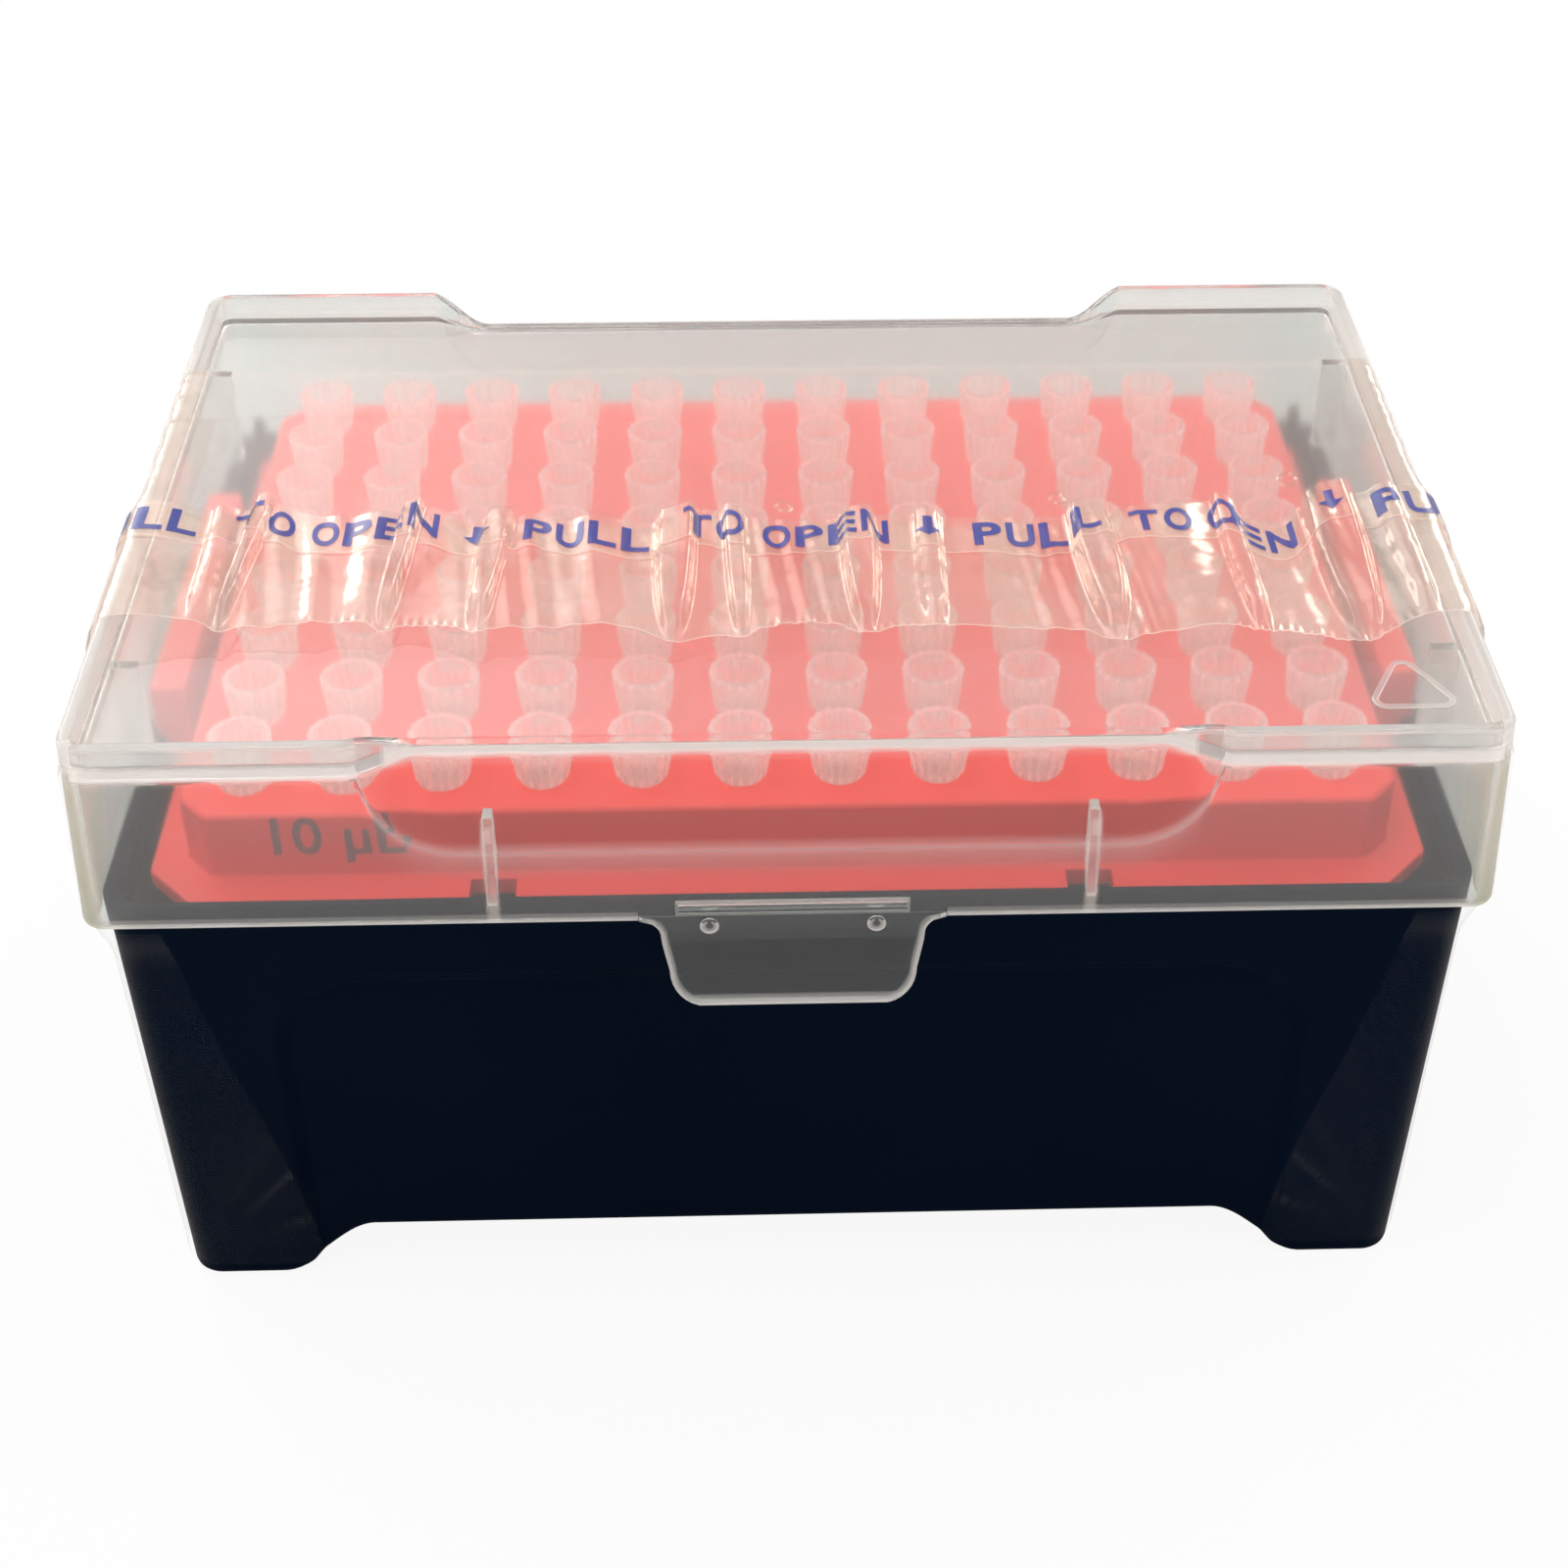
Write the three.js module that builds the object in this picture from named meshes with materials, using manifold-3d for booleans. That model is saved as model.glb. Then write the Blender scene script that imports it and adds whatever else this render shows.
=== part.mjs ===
// A box of 96 small-volume pipette tips: a dark moulded base, a red rack that hangs in it, twelve
// columns of eight tips, a milky hinged lid with a latch tab, and a clear seal film over the lid.
// Millimetres. X runs along the long side, the front is at -Y, +Z is up and the floor is Z = 0.

import * as THREE from 'three';
import { mergeGeometries, mergeVertices } from 'three/addons/utils/BufferGeometryUtils.js';
import Module from 'manifold-3d';

const wasm = await Module();
wasm.setup();

// ---- Driving dimensions -------------------------------------------------------------------

// The tip grid is the 9 mm grid of a 96-well plate.
const PITCH = 9;
const COLUMNS = 12;
const ROWS = 8;

// The base, a tub with a slight draft on every side.
const BASE_FOOT = { x: 60.9, y: 40.6 };
const BASE_TOP = { x: 61.95, y: 41.7 };
const BASE_HEIGHT = 50;
const BASE_WALL = 1.8;
const BASE_CORNER = 3;
const UNDER_CORNER = 0.8;
const FOOT_ROUND = 0.9;
const FOOT_WALL = 3.2;
const FLOOR_BOTTOM = 6;
const FLOOR_TOP = 7.6;
const LEDGE_Z = 47.5;
const COLLAR_INSIDE = { x: 60.2, y: 40.95 };

// Arches between the feet, and the shallow panel pressed into each long wall.
const LONG_ARCH = { inner: 42, outer: 51.6 };
const SHORT_ARCH = { inner: 24, outer: 32 };
const PANEL = { halfX: 48.7, top: 40.9, corner: 9, depth: 0.8 };

// Small posts at the collar's rear corners, and the rib that the latch tab rides over.
const REAR_POST = { x: 59.3, y: 40.95, half: 0.6, top: 51.8 };
const CATCH_RIB = { halfX: 9.9, front: 41.9, rear: 41.25, bottom: 48.7, top: 49.3 };

// Cuts in the front of the collar that the lid's front ribs drop through.
const COLLAR_CUT = { x: 26.8, half: 1.05, bottom: 48.8 };

// The rack: a raised deck on a wide flange, with a finger ear at each end.
const DECK = { x: 55.2, y: 36.7, cutX: 2.7, cutY: 3, top: 56.1, thickness: 1.6, wall: 1.5 };
const FLANGE = { x: 58.4, y: 40.55, cutX: 4.5, cutY: 4.8, bottom: 47.6, top: 49.3 };
const NOTCH = { x: 27, half: 2.1, depth: 2.85 };
const EAR = { inner: 57.2, outer: 60.7, neck: 59.8, lip: 50.4, halfY: 18, top: 56 };
const SOCKET = { radius: 2.4, depth: 4 };
const DECK_RIBS = [-4 * PITCH, 0, 4 * PITCH];
const DECK_RIB_HALF = 0.6;

// A tip: a flared crown that stands on the deck, and a hollow cone below it.
const TIP = {
  crownTop: 60.4,
  crownTopRadius: 2.87,
  crownFootRadius: 2.55,
  boreTopRadius: 2.1,
  neckRadius: 2.1,
  seatGap: 0.05,
  length: 31.2,
  endRadius: 0.45,
  endBoreRadius: 0.22,
  sides: 6,
};
const TIE = { half: 0.4, reach: 1.54, bottom: 52.6, top: 53.8 };

// The lid, drafted the other way: widest at its lower edge.
const LID_FOOT = { x: 63.65, y: 43.3 };
const LID_CREST = { x: 62.85, y: 42.5 };
const LID_BOTTOM = 48.2;
const LID_TOP = 67.6;
const LID_WALL = 1.25;
const LID_CORNER = 2.5;
const PLATE_TOP = 65.05;
const PLATE_THICKNESS = 1.2;

// Finger scoops in both long walls: full depth at the plate, running out at the bottom.
const SCOOP = { bottom: 56, depth: 3.2, halfX: 37.2, corner: 8, sweep: 6.1, halfTop: 38.2 };

// Ribs inside the lid, the latch tab at the front and the slot that takes the catch rib.
const FRONT_RIB = {
  x: 26.8,
  half: 0.45,
  bottom: 49.7,
  bend: 52,
  top: 58.4,
  inner: 39.2,
  toe: 41.2,
  root: { low: 42.7, middle: 42.3, high: 41.2 },
};
const SIDE_RIB = { front: -25.3, rear: 29.5, half: 0.6, inner: 59, bottom: 53.6 };
const TAB = {
  halfTop: 11.9,
  halfFoot: 11.2,
  root: 49,
  bend: 46.1,
  bottom: 40.2,
  corner: 3,
  fillet: 2,
  wall: 1.1,
};
const SLOT = { halfX: 10.3, bottom: 48.4, top: 49.6, depth: 0.65 };
const TAB_DOTS = { x: 7.5, z: 47.7, radius: 0.85, proud: 0.3, length: 0.8 };

// The snap hinge at the back: the lid's lugs carry the pins, the base's ears hold them.
const HINGE = { x: 38, y: 43.6, z: 44.6 };
const LUG = { half: 5.6, root: 1, proud: 0.5, top: 49.1, radius: 1.7, pinRadius: 1, pinEnd: 7.9 };
const KNUCKLE = { inner: 6, outer: 8.2, radius: 2.2, boreRadius: 1.3, mouthHalf: 0.85 };
const KNUCKLE_ARM = { drop: 4.4, heelOut: 1.1, heelDown: 1.87 };
const REACH_Y = HINGE.y + KNUCKLE.radius;

// The seal film: a band across the lid's top and down both ends.
const FILM = { front: -27, back: 24, gap: 0.3, thickness: 0.3, bottom: 49 };

// How finely the curves are cut.
const ROUND = 4;
const SCOOP_STEPS = { across: 24, up: 7 };

// ---- Solids from three.js geometry --------------------------------------------------------

// Turns a closed geometry into a solid that can be joined and cut.
function solid(geometry) {
  const bare = geometry.clone();
  for (const name of Object.keys(bare.attributes)) {
    if (name !== 'position') bare.deleteAttribute(name);
  }
  const merged = mergeVertices(bare, 1e-4);
  return new wasm.Manifold(new wasm.Mesh({
    numProp: 3,
    vertProperties: Float32Array.from(merged.attributes.position.array),
    triVerts: Uint32Array.from(merged.index.array),
  }));
}

// Turns a solid back into a named mesh with its material.
function mesh(name, body, material) {
  const { numProp, vertProperties, triVerts } = body.getMesh();
  const geometry = new THREE.BufferGeometry();
  geometry.setAttribute('position', new THREE.Float32BufferAttribute(vertProperties, numProp));
  geometry.setIndex(new THREE.Uint32BufferAttribute(triVerts, 1));
  geometry.computeVertexNormals();
  const made = new THREE.Mesh(geometry, material);
  made.name = name;
  return made;
}

function join(...bodies) {
  return bodies.reduce((whole, body) => whole.add(body));
}

function box([x0, x1], [y0, y1], [z0, z1]) {
  const geometry = new THREE.BoxGeometry(x1 - x0, y1 - y0, z1 - z0);
  geometry.translate((x0 + x1) / 2, (y0 + y1) / 2, (z0 + z1) / 2);
  return solid(geometry);
}

function extrude(shape, depth) {
  return new THREE.ExtrudeGeometry(shape, { depth, bevelEnabled: false, curveSegments: ROUND });
}

// A plan outline raised from z0 to z1.
function prism(shape, z0, z1) {
  return solid(extrude(shape, z1 - z0).translate(0, 0, z0));
}

// An outline drawn in X and Z, run from y0 to y1.
function prismAlongY(shape, y0, y1) {
  return solid(extrude(shape, y1 - y0).rotateX(Math.PI / 2).translate(0, y1, 0));
}

// An outline drawn in Y and Z, run from x0 to x1.
function prismAlongX(shape, x0, x1) {
  const turn = new THREE.Matrix4().makeBasis(
    new THREE.Vector3(0, 1, 0),
    new THREE.Vector3(0, 0, 1),
    new THREE.Vector3(1, 0, 0),
  );
  return solid(extrude(shape, x1 - x0).applyMatrix4(turn).translate(x0, 0, 0));
}

function rodAlongX(x0, x1, y, z, radius, sides = 16) {
  const geometry = new THREE.CylinderGeometry(radius, radius, x1 - x0, sides);
  return solid(geometry.rotateZ(Math.PI / 2).translate((x0 + x1) / 2, y, z));
}

// ---- Outlines -----------------------------------------------------------------------------

function polygon(points) {
  return new THREE.Shape(points.map(([a, b]) => new THREE.Vector2(a, b)));
}

function roundedRectangle(halfX, halfY, radius) {
  const shape = new THREE.Shape();
  const quarter = Math.PI / 2;
  shape.absarc(halfX - radius, halfY - radius, radius, 0, quarter);
  shape.absarc(radius - halfX, halfY - radius, radius, quarter, 2 * quarter);
  shape.absarc(radius - halfX, radius - halfY, radius, 2 * quarter, 3 * quarter);
  shape.absarc(halfX - radius, radius - halfY, radius, 3 * quarter, 4 * quarter);
  return shape;
}

function chamferedRectangle(halfX, halfY, cutX, cutY) {
  return polygon([
    [halfX, halfY - cutY], [halfX - cutX, halfY],
    [cutX - halfX, halfY], [-halfX, halfY - cutY],
    [-halfX, cutY - halfY], [cutX - halfX, -halfY],
    [halfX - cutX, -halfY], [halfX, cutY - halfY],
  ]);
}

// A rounded block whose half sizes go from foot to crest between z0 and z1.
function draftedBlock(foot, crest, z0, z1, radius) {
  const geometry = extrude(roundedRectangle(crest.x, crest.y, radius), 1);
  const at = geometry.attributes.position;
  for (let i = 0; i < at.count; i += 1) {
    const up = at.getZ(i);
    const scaleX = THREE.MathUtils.lerp(foot.x / crest.x, 1, up);
    const scaleY = THREE.MathUtils.lerp(foot.y / crest.y, 1, up);
    at.setXYZ(i, at.getX(i) * scaleX, at.getY(i) * scaleY, THREE.MathUtils.lerp(z0, z1, up));
  }
  return solid(geometry);
}

// Half sizes of a drafted wall at height z, moved in by inset.
function halfAt(foot, crest, z0, z1, z, inset = 0) {
  const up = (z - z0) / (z1 - z0);
  return {
    x: THREE.MathUtils.lerp(foot.x, crest.x, up) - inset,
    y: THREE.MathUtils.lerp(foot.y, crest.y, up) - inset,
  };
}

function baseHalf(z, inset = 0) {
  return halfAt(BASE_FOOT, BASE_TOP, 0, BASE_HEIGHT, z, inset);
}

function lidHalf(z, inset = 0) {
  return halfAt(LID_FOOT, LID_CREST, LID_BOTTOM, LID_TOP, z, inset);
}

// ---- Base ---------------------------------------------------------------------------------

// The opening under a wall: flat in the middle, with an S-curve down to each foot.
function archOutline({ inner, outer }) {
  const middle = (inner + outer) / 2;
  const half = FLOOR_BOTTOM / 2;
  const shape = new THREE.Shape();
  shape.moveTo(-outer, -1);
  shape.lineTo(outer, -1);
  shape.lineTo(outer, 0);
  shape.quadraticCurveTo(middle + half / 2, 0, middle, half);
  shape.quadraticCurveTo(middle - half / 2, FLOOR_BOTTOM, inner, FLOOR_BOTTOM);
  shape.lineTo(-inner, FLOOR_BOTTOM);
  shape.quadraticCurveTo(half / 2 - middle, FLOOR_BOTTOM, -middle, half);
  shape.quadraticCurveTo(-middle - half / 2, 0, -outer, 0);
  return shape;
}

function panelOutline() {
  const { halfX, top, corner } = PANEL;
  const shape = new THREE.Shape();
  shape.moveTo(-halfX, -1);
  shape.lineTo(halfX, -1);
  shape.lineTo(halfX, top - corner);
  shape.absarc(halfX - corner, top - corner, corner, 0, Math.PI / 2);
  shape.absarc(corner - halfX, top - corner, corner, Math.PI / 2, Math.PI);
  return shape;
}

// Two ears with a snap mouth for one hinge pin, reaching back from the rear wall.
function hingeEars(x) {
  const { inner, outer, radius, boreRadius, mouthHalf } = KNUCKLE;
  const wall = baseHalf(HINGE.z).y - BASE_WALL / 2;
  const arm = polygon([
    [wall, HINGE.z - KNUCKLE_ARM.drop],
    [HINGE.y + KNUCKLE_ARM.heelOut, HINGE.z - KNUCKLE_ARM.heelDown],
    [HINGE.y, HINGE.z + radius],
    [wall, HINGE.z + radius],
  ]);
  const bore = rodAlongX(x - outer - 1, x + outer + 1, HINGE.y, HINGE.z, boreRadius);
  const mouth = box(
    [x - outer - 1, x + outer + 1],
    [HINGE.y - mouthHalf, HINGE.y + mouthHalf],
    [HINGE.z, HINGE.z + 2 * radius],
  );
  const ears = [[x - outer, x - inner], [x + inner, x + outer]].map(([x0, x1]) => (
    prismAlongX(arm, x0, x1).add(rodAlongX(x0, x1, HINGE.y, HINGE.z, radius))
  ));
  return join(...ears).subtract(bore).subtract(mouth);
}

function collarCut(x) {
  const { half, bottom } = COLLAR_CUT;
  const inside = 1 - COLLAR_INSIDE.y;
  return box([x - half, x + half], [-BASE_TOP.y - 1, inside], [bottom, BASE_HEIGHT + 1]);
}

function rearPost(side) {
  const { x, y, half, top } = REAR_POST;
  return box([side * x - half, side * x + half], [y - half, y + half], [LEDGE_Z, top]);
}

function makeBase() {
  const footEdge = baseHalf(FOOT_ROUND);
  const toe = { x: footEdge.x - FOOT_ROUND, y: footEdge.y - FOOT_ROUND };
  const shell = join(
    draftedBlock(toe, footEdge, 0, FOOT_ROUND, BASE_CORNER),
    draftedBlock(footEdge, BASE_TOP, FOOT_ROUND, BASE_HEIGHT, BASE_CORNER),
  );
  const innerCorner = BASE_CORNER - BASE_WALL;
  const wall = (z) => baseHalf(z, BASE_WALL);
  const tub = draftedBlock(wall(FLOOR_TOP), wall(LEDGE_Z), FLOOR_TOP, LEDGE_Z, innerCorner);
  const collar = draftedBlock(COLLAR_INSIDE, COLLAR_INSIDE, LEDGE_Z, BASE_HEIGHT + 1, innerCorner);
  const skirt = (z) => baseHalf(z, FOOT_WALL);
  const under = draftedBlock(skirt(-1), skirt(FLOOR_BOTTOM), -1, FLOOR_BOTTOM, UNDER_CORNER);
  const inPanel = (z) => baseHalf(z, PANEL.depth);
  const panels = prismAlongY(panelOutline(), -BASE_TOP.y - 1, BASE_TOP.y + 1)
    .subtract(draftedBlock(inPanel(-2), inPanel(BASE_HEIGHT), -2, BASE_HEIGHT, innerCorner));
  const longArches = prismAlongY(archOutline(LONG_ARCH), -BASE_TOP.y - 1, BASE_TOP.y + 1);
  const shortArches = prismAlongX(archOutline(SHORT_ARCH), -BASE_TOP.x - 1, BASE_TOP.x + 1);
  const catchRib = box(
    [-CATCH_RIB.halfX, CATCH_RIB.halfX],
    [-CATCH_RIB.front, -CATCH_RIB.rear],
    [CATCH_RIB.bottom, CATCH_RIB.top],
  );
  const collarCuts = [collarCut(-COLLAR_CUT.x), collarCut(COLLAR_CUT.x)];
  const cuts = [tub, collar, under, panels, longArches, shortArches, ...collarCuts];
  return cuts.reduce((body, cut) => body.subtract(cut), shell)
    .add(join(catchRib, rearPost(-1), rearPost(1), hingeEars(-HINGE.x), hingeEars(HINGE.x)));
}

// ---- Rack ---------------------------------------------------------------------------------

// The flange has two notches in its front and back edges, for the lid's ribs.
function makeFlange() {
  const plate = prism(
    chamferedRectangle(FLANGE.x, FLANGE.y, FLANGE.cutX, FLANGE.cutY),
    FLANGE.bottom,
    FLANGE.top,
  );
  let flange = plate;
  for (const x of [-NOTCH.x, NOTCH.x]) {
    for (const side of [-1, 1]) {
      const middle = side * (FLANGE.y + 1);
      const edges = [middle - 1 - NOTCH.depth, middle + 1 + NOTCH.depth];
      flange = flange.subtract(box(
        [x - NOTCH.half, x + NOTCH.half],
        edges,
        [FLANGE.bottom - 1, FLANGE.top + 1],
      ));
    }
  }
  return flange;
}

// An upright finger ear, whose lip stands over the base's collar.
function ear(side) {
  const outline = polygon([
    [EAR.inner, FLANGE.bottom], [EAR.neck, FLANGE.bottom], [EAR.neck, EAR.lip],
    [EAR.outer, EAR.lip], [EAR.outer, EAR.top], [EAR.inner, EAR.top],
  ]);
  const upright = prismAlongY(outline, -EAR.halfY, EAR.halfY);
  return side > 0 ? upright : upright.rotate([0, 0, 180]);
}

function columnX(column) {
  return (column - (COLUMNS - 1) / 2) * PITCH;
}

function rowY(row) {
  return (row - (ROWS - 1) / 2) * PITCH;
}

function socketHoles() {
  const holes = [];
  for (let column = 0; column < COLUMNS; column += 1) {
    for (let row = 0; row < ROWS; row += 1) {
      const turn = Math.PI / TIP.sides;
      const { radius, depth } = SOCKET;
      const hole = new THREE.CylinderGeometry(radius, radius, depth, TIP.sides, 1, false, turn);
      hole.rotateX(Math.PI / 2);
      holes.push(hole.translate(columnX(column), rowY(row), DECK.top - DECK.thickness / 2));
    }
  }
  return solid(mergeGeometries(holes));
}

function makeRack() {
  const { x, y, cutX, cutY, top, thickness, wall } = DECK;
  const block = prism(chamferedRectangle(x, y, cutX, cutY), FLANGE.bottom, top);
  const hollow = prism(
    chamferedRectangle(x - wall, y - wall, cutX, cutY),
    FLANGE.bottom - 1,
    top - thickness,
  );
  const ribs = join(...DECK_RIBS.map((ribX) => box(
    [ribX - DECK_RIB_HALF, ribX + DECK_RIB_HALF],
    [wall / 2 - y, y - wall / 2],
    [FLANGE.top, top - thickness / 2],
  )));
  return join(block, makeFlange()).subtract(hollow)
    .add(ribs)
    .subtract(socketHoles())
    .add(join(ear(-1), ear(1)));
}

// ---- Tips ---------------------------------------------------------------------------------

// One hollow tip, turned about its own axis.
function tip(x, y) {
  const crownFoot = DECK.top + TIP.seatGap;
  const end = TIP.crownTop - TIP.length;
  const outline = [
    [TIP.endBoreRadius, end], [TIP.endRadius, end],
    [TIP.neckRadius, crownFoot], [TIP.crownFootRadius, crownFoot],
    [TIP.crownTopRadius, TIP.crownTop], [TIP.boreTopRadius, TIP.crownTop],
    [TIP.endBoreRadius, end],
  ].map(([r, z]) => new THREE.Vector2(r, z));
  const geometry = new THREE.LatheGeometry(outline, TIP.sides, Math.PI / TIP.sides);
  return geometry.rotateX(Math.PI / 2).translate(x, y, 0);
}

// Eight tips, joined under the deck by a thin tie so that the column is one body.
function makeTipColumn(column) {
  const x = columnX(column);
  let body = null;
  for (let row = 0; row < ROWS; row += 1) {
    const one = solid(tip(x, rowY(row)));
    body = body ? body.add(one) : one;
    if (row > 0) {
      body = body.add(box(
        [x - TIE.half, x + TIE.half],
        [rowY(row - 1) + TIE.reach, rowY(row) - TIE.reach],
        [TIE.bottom, TIE.top],
      ));
    }
  }
  return body;
}

// ---- Lid ----------------------------------------------------------------------------------

// How far a long wall is pressed in at x and height z.
function scoopDepth(x, z) {
  const { bottom, depth, halfX, corner, sweep, halfTop } = SCOOP;
  const rise = THREE.MathUtils.clamp((z - bottom) / (PLATE_TOP - bottom), 0, 1);
  const drop = THREE.MathUtils.clamp((bottom + corner - z) / corner, 0, 1);
  const turn = halfX - corner + corner * Math.sqrt(1 - drop * drop);
  const edge = turn + (halfTop - halfX) * rise;
  return depth * rise * THREE.MathUtils.smoothstep(edge - Math.abs(x), 0, sweep);
}

// The block that presses a scoop into one long wall; side is -1 at the front, 1 at the back.
function scoopCutter(side, inset) {
  const margin = 0.15;
  const bottom = SCOOP.bottom - 1;
  const height = LID_TOP + 1 - bottom;
  const { across, up } = SCOOP_STEPS;
  const geometry = new THREE.BoxGeometry(2 * SCOOP.halfTop + 2, 10, height, across, 1, up);
  geometry.translate(0, 0, bottom + height / 2);
  const at = geometry.attributes.position;
  for (let i = 0; i < at.count; i += 1) {
    const x = at.getX(i);
    const z = at.getZ(i);
    const wall = lidHalf(z, inset).y + margin;
    const facesIn = at.getY(i) * side < 0;
    const pressed = scoopDepth(x, z) * (1 + margin / SCOOP.depth);
    at.setY(i, side * (facesIn ? wall - pressed : LID_FOOT.y + 5));
  }
  return solid(geometry);
}

// The hollow inside the raised rim, with a bay behind each scoop.
function rimRecess() {
  const half = lidHalf(LID_TOP, LID_WALL);
  const radius = LID_CORNER - LID_WALL;
  const shape = roundedRectangle(half.x, half.y, radius);
  const bays = [-1, 1].map((side) => {
    const along = [];
    for (let i = 0; i <= SCOOP_STEPS.across; i += 1) {
      const x = (2 * i / SCOOP_STEPS.across - 1) * (SCOOP.halfTop + 1);
      along.push([x, side * (half.y - scoopDepth(x, PLATE_TOP))]);
    }
    const outer = side * (half.y + 5);
    const outline = [...along, [SCOOP.halfTop + 1, outer], [-SCOOP.halfTop - 1, outer]];
    return prism(polygon(side > 0 ? outline : outline.reverse()), PLATE_TOP - 1, LID_TOP + 2);
  });
  return prism(shape, PLATE_TOP, LID_TOP + 1).subtract(bays[0]).subtract(bays[1]);
}

// What is above the rim where it runs down to the plate beside each scoop.
function rimRunOut() {
  const width = 2 * SCOOP.halfTop;
  const geometry = new THREE.BoxGeometry(width, 2 * LID_FOOT.y + 4, 1, SCOOP_STEPS.across, 1, 1);
  const at = geometry.attributes.position;
  for (let i = 0; i < at.count; i += 1) {
    const along = Math.abs(at.getX(i)) - (SCOOP.halfTop - SCOOP.sweep);
    const climb = THREE.MathUtils.smoothstep(along, 0, SCOOP.sweep);
    const low = THREE.MathUtils.lerp(PLATE_TOP, LID_TOP + 0.05, climb);
    at.setZ(i, at.getZ(i) < 0 ? low : LID_TOP + 3);
  }
  return solid(geometry);
}

// A rib inside the front wall that drops into the rack's notch.
function frontRib(x) {
  const { half, bottom, bend, top, inner, toe, root } = FRONT_RIB;
  const outline = polygon([
    [-root.low, bottom], [-toe, bottom], [-inner, bend],
    [-inner, top], [-root.high, top], [-root.middle, SCOOP.bottom],
  ]);
  return prismAlongX(outline, x - half, x + half);
}

// A stiffening gusset inside an end wall.
function sideRib(side, y) {
  const { half, inner, bottom } = SIDE_RIB;
  const ceiling = PLATE_TOP - PLATE_THICKNESS / 2;
  const low = lidHalf(bottom, LID_WALL / 2).x;
  const high = lidHalf(ceiling, LID_WALL / 2).x;
  const outline = polygon([[inner, bottom], [low, bottom], [high, ceiling], [inner, ceiling]]);
  const rib = prismAlongY(outline, y - half, y + half);
  return side > 0 ? rib : rib.mirror([1, 0, 0]);
}

// The latch tab: the front outline of a pull tab, cut from a plate that bends outwards.
function latchTab() {
  const { halfTop, halfFoot, root, bend, bottom, corner, fillet, wall } = TAB;
  const face = new THREE.Shape();
  face.moveTo(-halfTop - fillet, root);
  face.lineTo(-halfTop - fillet, LID_BOTTOM);
  face.quadraticCurveTo(-halfTop, LID_BOTTOM, -halfTop, LID_BOTTOM - fillet);
  face.lineTo(-halfFoot, bottom + corner);
  face.absarc(corner - halfFoot, bottom + corner, corner, Math.PI, 1.5 * Math.PI);
  face.absarc(halfFoot - corner, bottom + corner, corner, 1.5 * Math.PI, 2 * Math.PI);
  face.lineTo(halfTop, LID_BOTTOM - fillet);
  face.quadraticCurveTo(halfTop, LID_BOTTOM, halfTop + fillet, LID_BOTTOM);
  face.lineTo(halfTop + fillet, root);
  const front = -lidHalf(bend).y;
  const plate = polygon([
    [front, bend], [-REACH_Y, bottom - 0.1], [wall - REACH_Y, bottom - 0.1],
    [front + wall, bend], [front + wall, root + 0.2], [front + 0.1, root + 0.2],
  ]);
  const across = halfTop + fillet + 1;
  return prismAlongY(face, -REACH_Y - 1, 1 - LID_CREST.y).intersect(prismAlongX(plate, -across, across));
}

// Two small round marks on the tab, below the slot.
function tabDot(x) {
  const { z, radius, proud, length } = TAB_DOTS;
  const front = -lidHalf(z).y;
  const geometry = new THREE.CylinderGeometry(radius, radius, length, 12);
  return solid(geometry.translate(x, front + length / 2 - proud, z));
}

// A lug that hangs from the rear wall and carries one hinge pin.
function hingeLug(x) {
  const { half, root, proud, top, radius, pinRadius, pinEnd } = LUG;
  const rear = lidHalf(LID_BOTTOM).y;
  return join(
    box([x - half, x + half], [rear - root, rear + proud], [HINGE.z, top]),
    rodAlongX(x - half, x + half, HINGE.y, HINGE.z, radius),
    rodAlongX(x - pinEnd, x + pinEnd, HINGE.y, HINGE.z, pinRadius),
  );
}

function makeLid() {
  const ceiling = PLATE_TOP - PLATE_THICKNESS;
  const below = LID_BOTTOM - 1;
  const block = draftedBlock(LID_FOOT, LID_CREST, LID_BOTTOM, LID_TOP, LID_CORNER)
    .subtract(scoopCutter(-1, 0))
    .subtract(scoopCutter(1, 0));
  const cavity = draftedBlock(
    lidHalf(below, LID_WALL),
    lidHalf(ceiling, LID_WALL),
    below,
    ceiling,
    LID_CORNER - LID_WALL,
  ).subtract(scoopCutter(-1, LID_WALL)).subtract(scoopCutter(1, LID_WALL));
  const inside = -lidHalf(SLOT.bottom, LID_WALL).y;
  const slot = box([-SLOT.halfX, SLOT.halfX], [inside - SLOT.depth, inside + 1], [SLOT.bottom, SLOT.top]);
  const ribs = [frontRib(-FRONT_RIB.x), frontRib(FRONT_RIB.x)];
  for (const side of [-1, 1]) {
    ribs.push(sideRib(side, SIDE_RIB.front), sideRib(side, SIDE_RIB.rear));
  }
  return block.subtract(cavity)
    .subtract(rimRecess().add(rimRunOut()))
    .add(join(...ribs, latchTab(), hingeLug(-HINGE.x), hingeLug(HINGE.x)))
    .subtract(slot)
    .add(join(tabDot(-TAB_DOTS.x), tabDot(TAB_DOTS.x)));
}

// ---- Seal film ----------------------------------------------------------------------------

// A thin band that spans the lid's raised rims and hangs down both ends.
function makeSealFilm() {
  const { front, back, gap, thickness, bottom } = FILM;
  const high = LID_TOP + gap;
  const lowHalf = lidHalf(bottom).x + gap;
  const highHalf = lidHalf(high).x + gap;
  const outline = polygon([
    [lowHalf, bottom], [lowHalf + thickness, bottom],
    [highHalf + thickness, high + thickness], [-highHalf - thickness, high + thickness],
    [-lowHalf - thickness, bottom], [-lowHalf, bottom],
    [-highHalf, high], [highHalf, high],
  ]);
  return prismAlongY(outline, front, back);
}

// ---- The box ------------------------------------------------------------------------------

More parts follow.
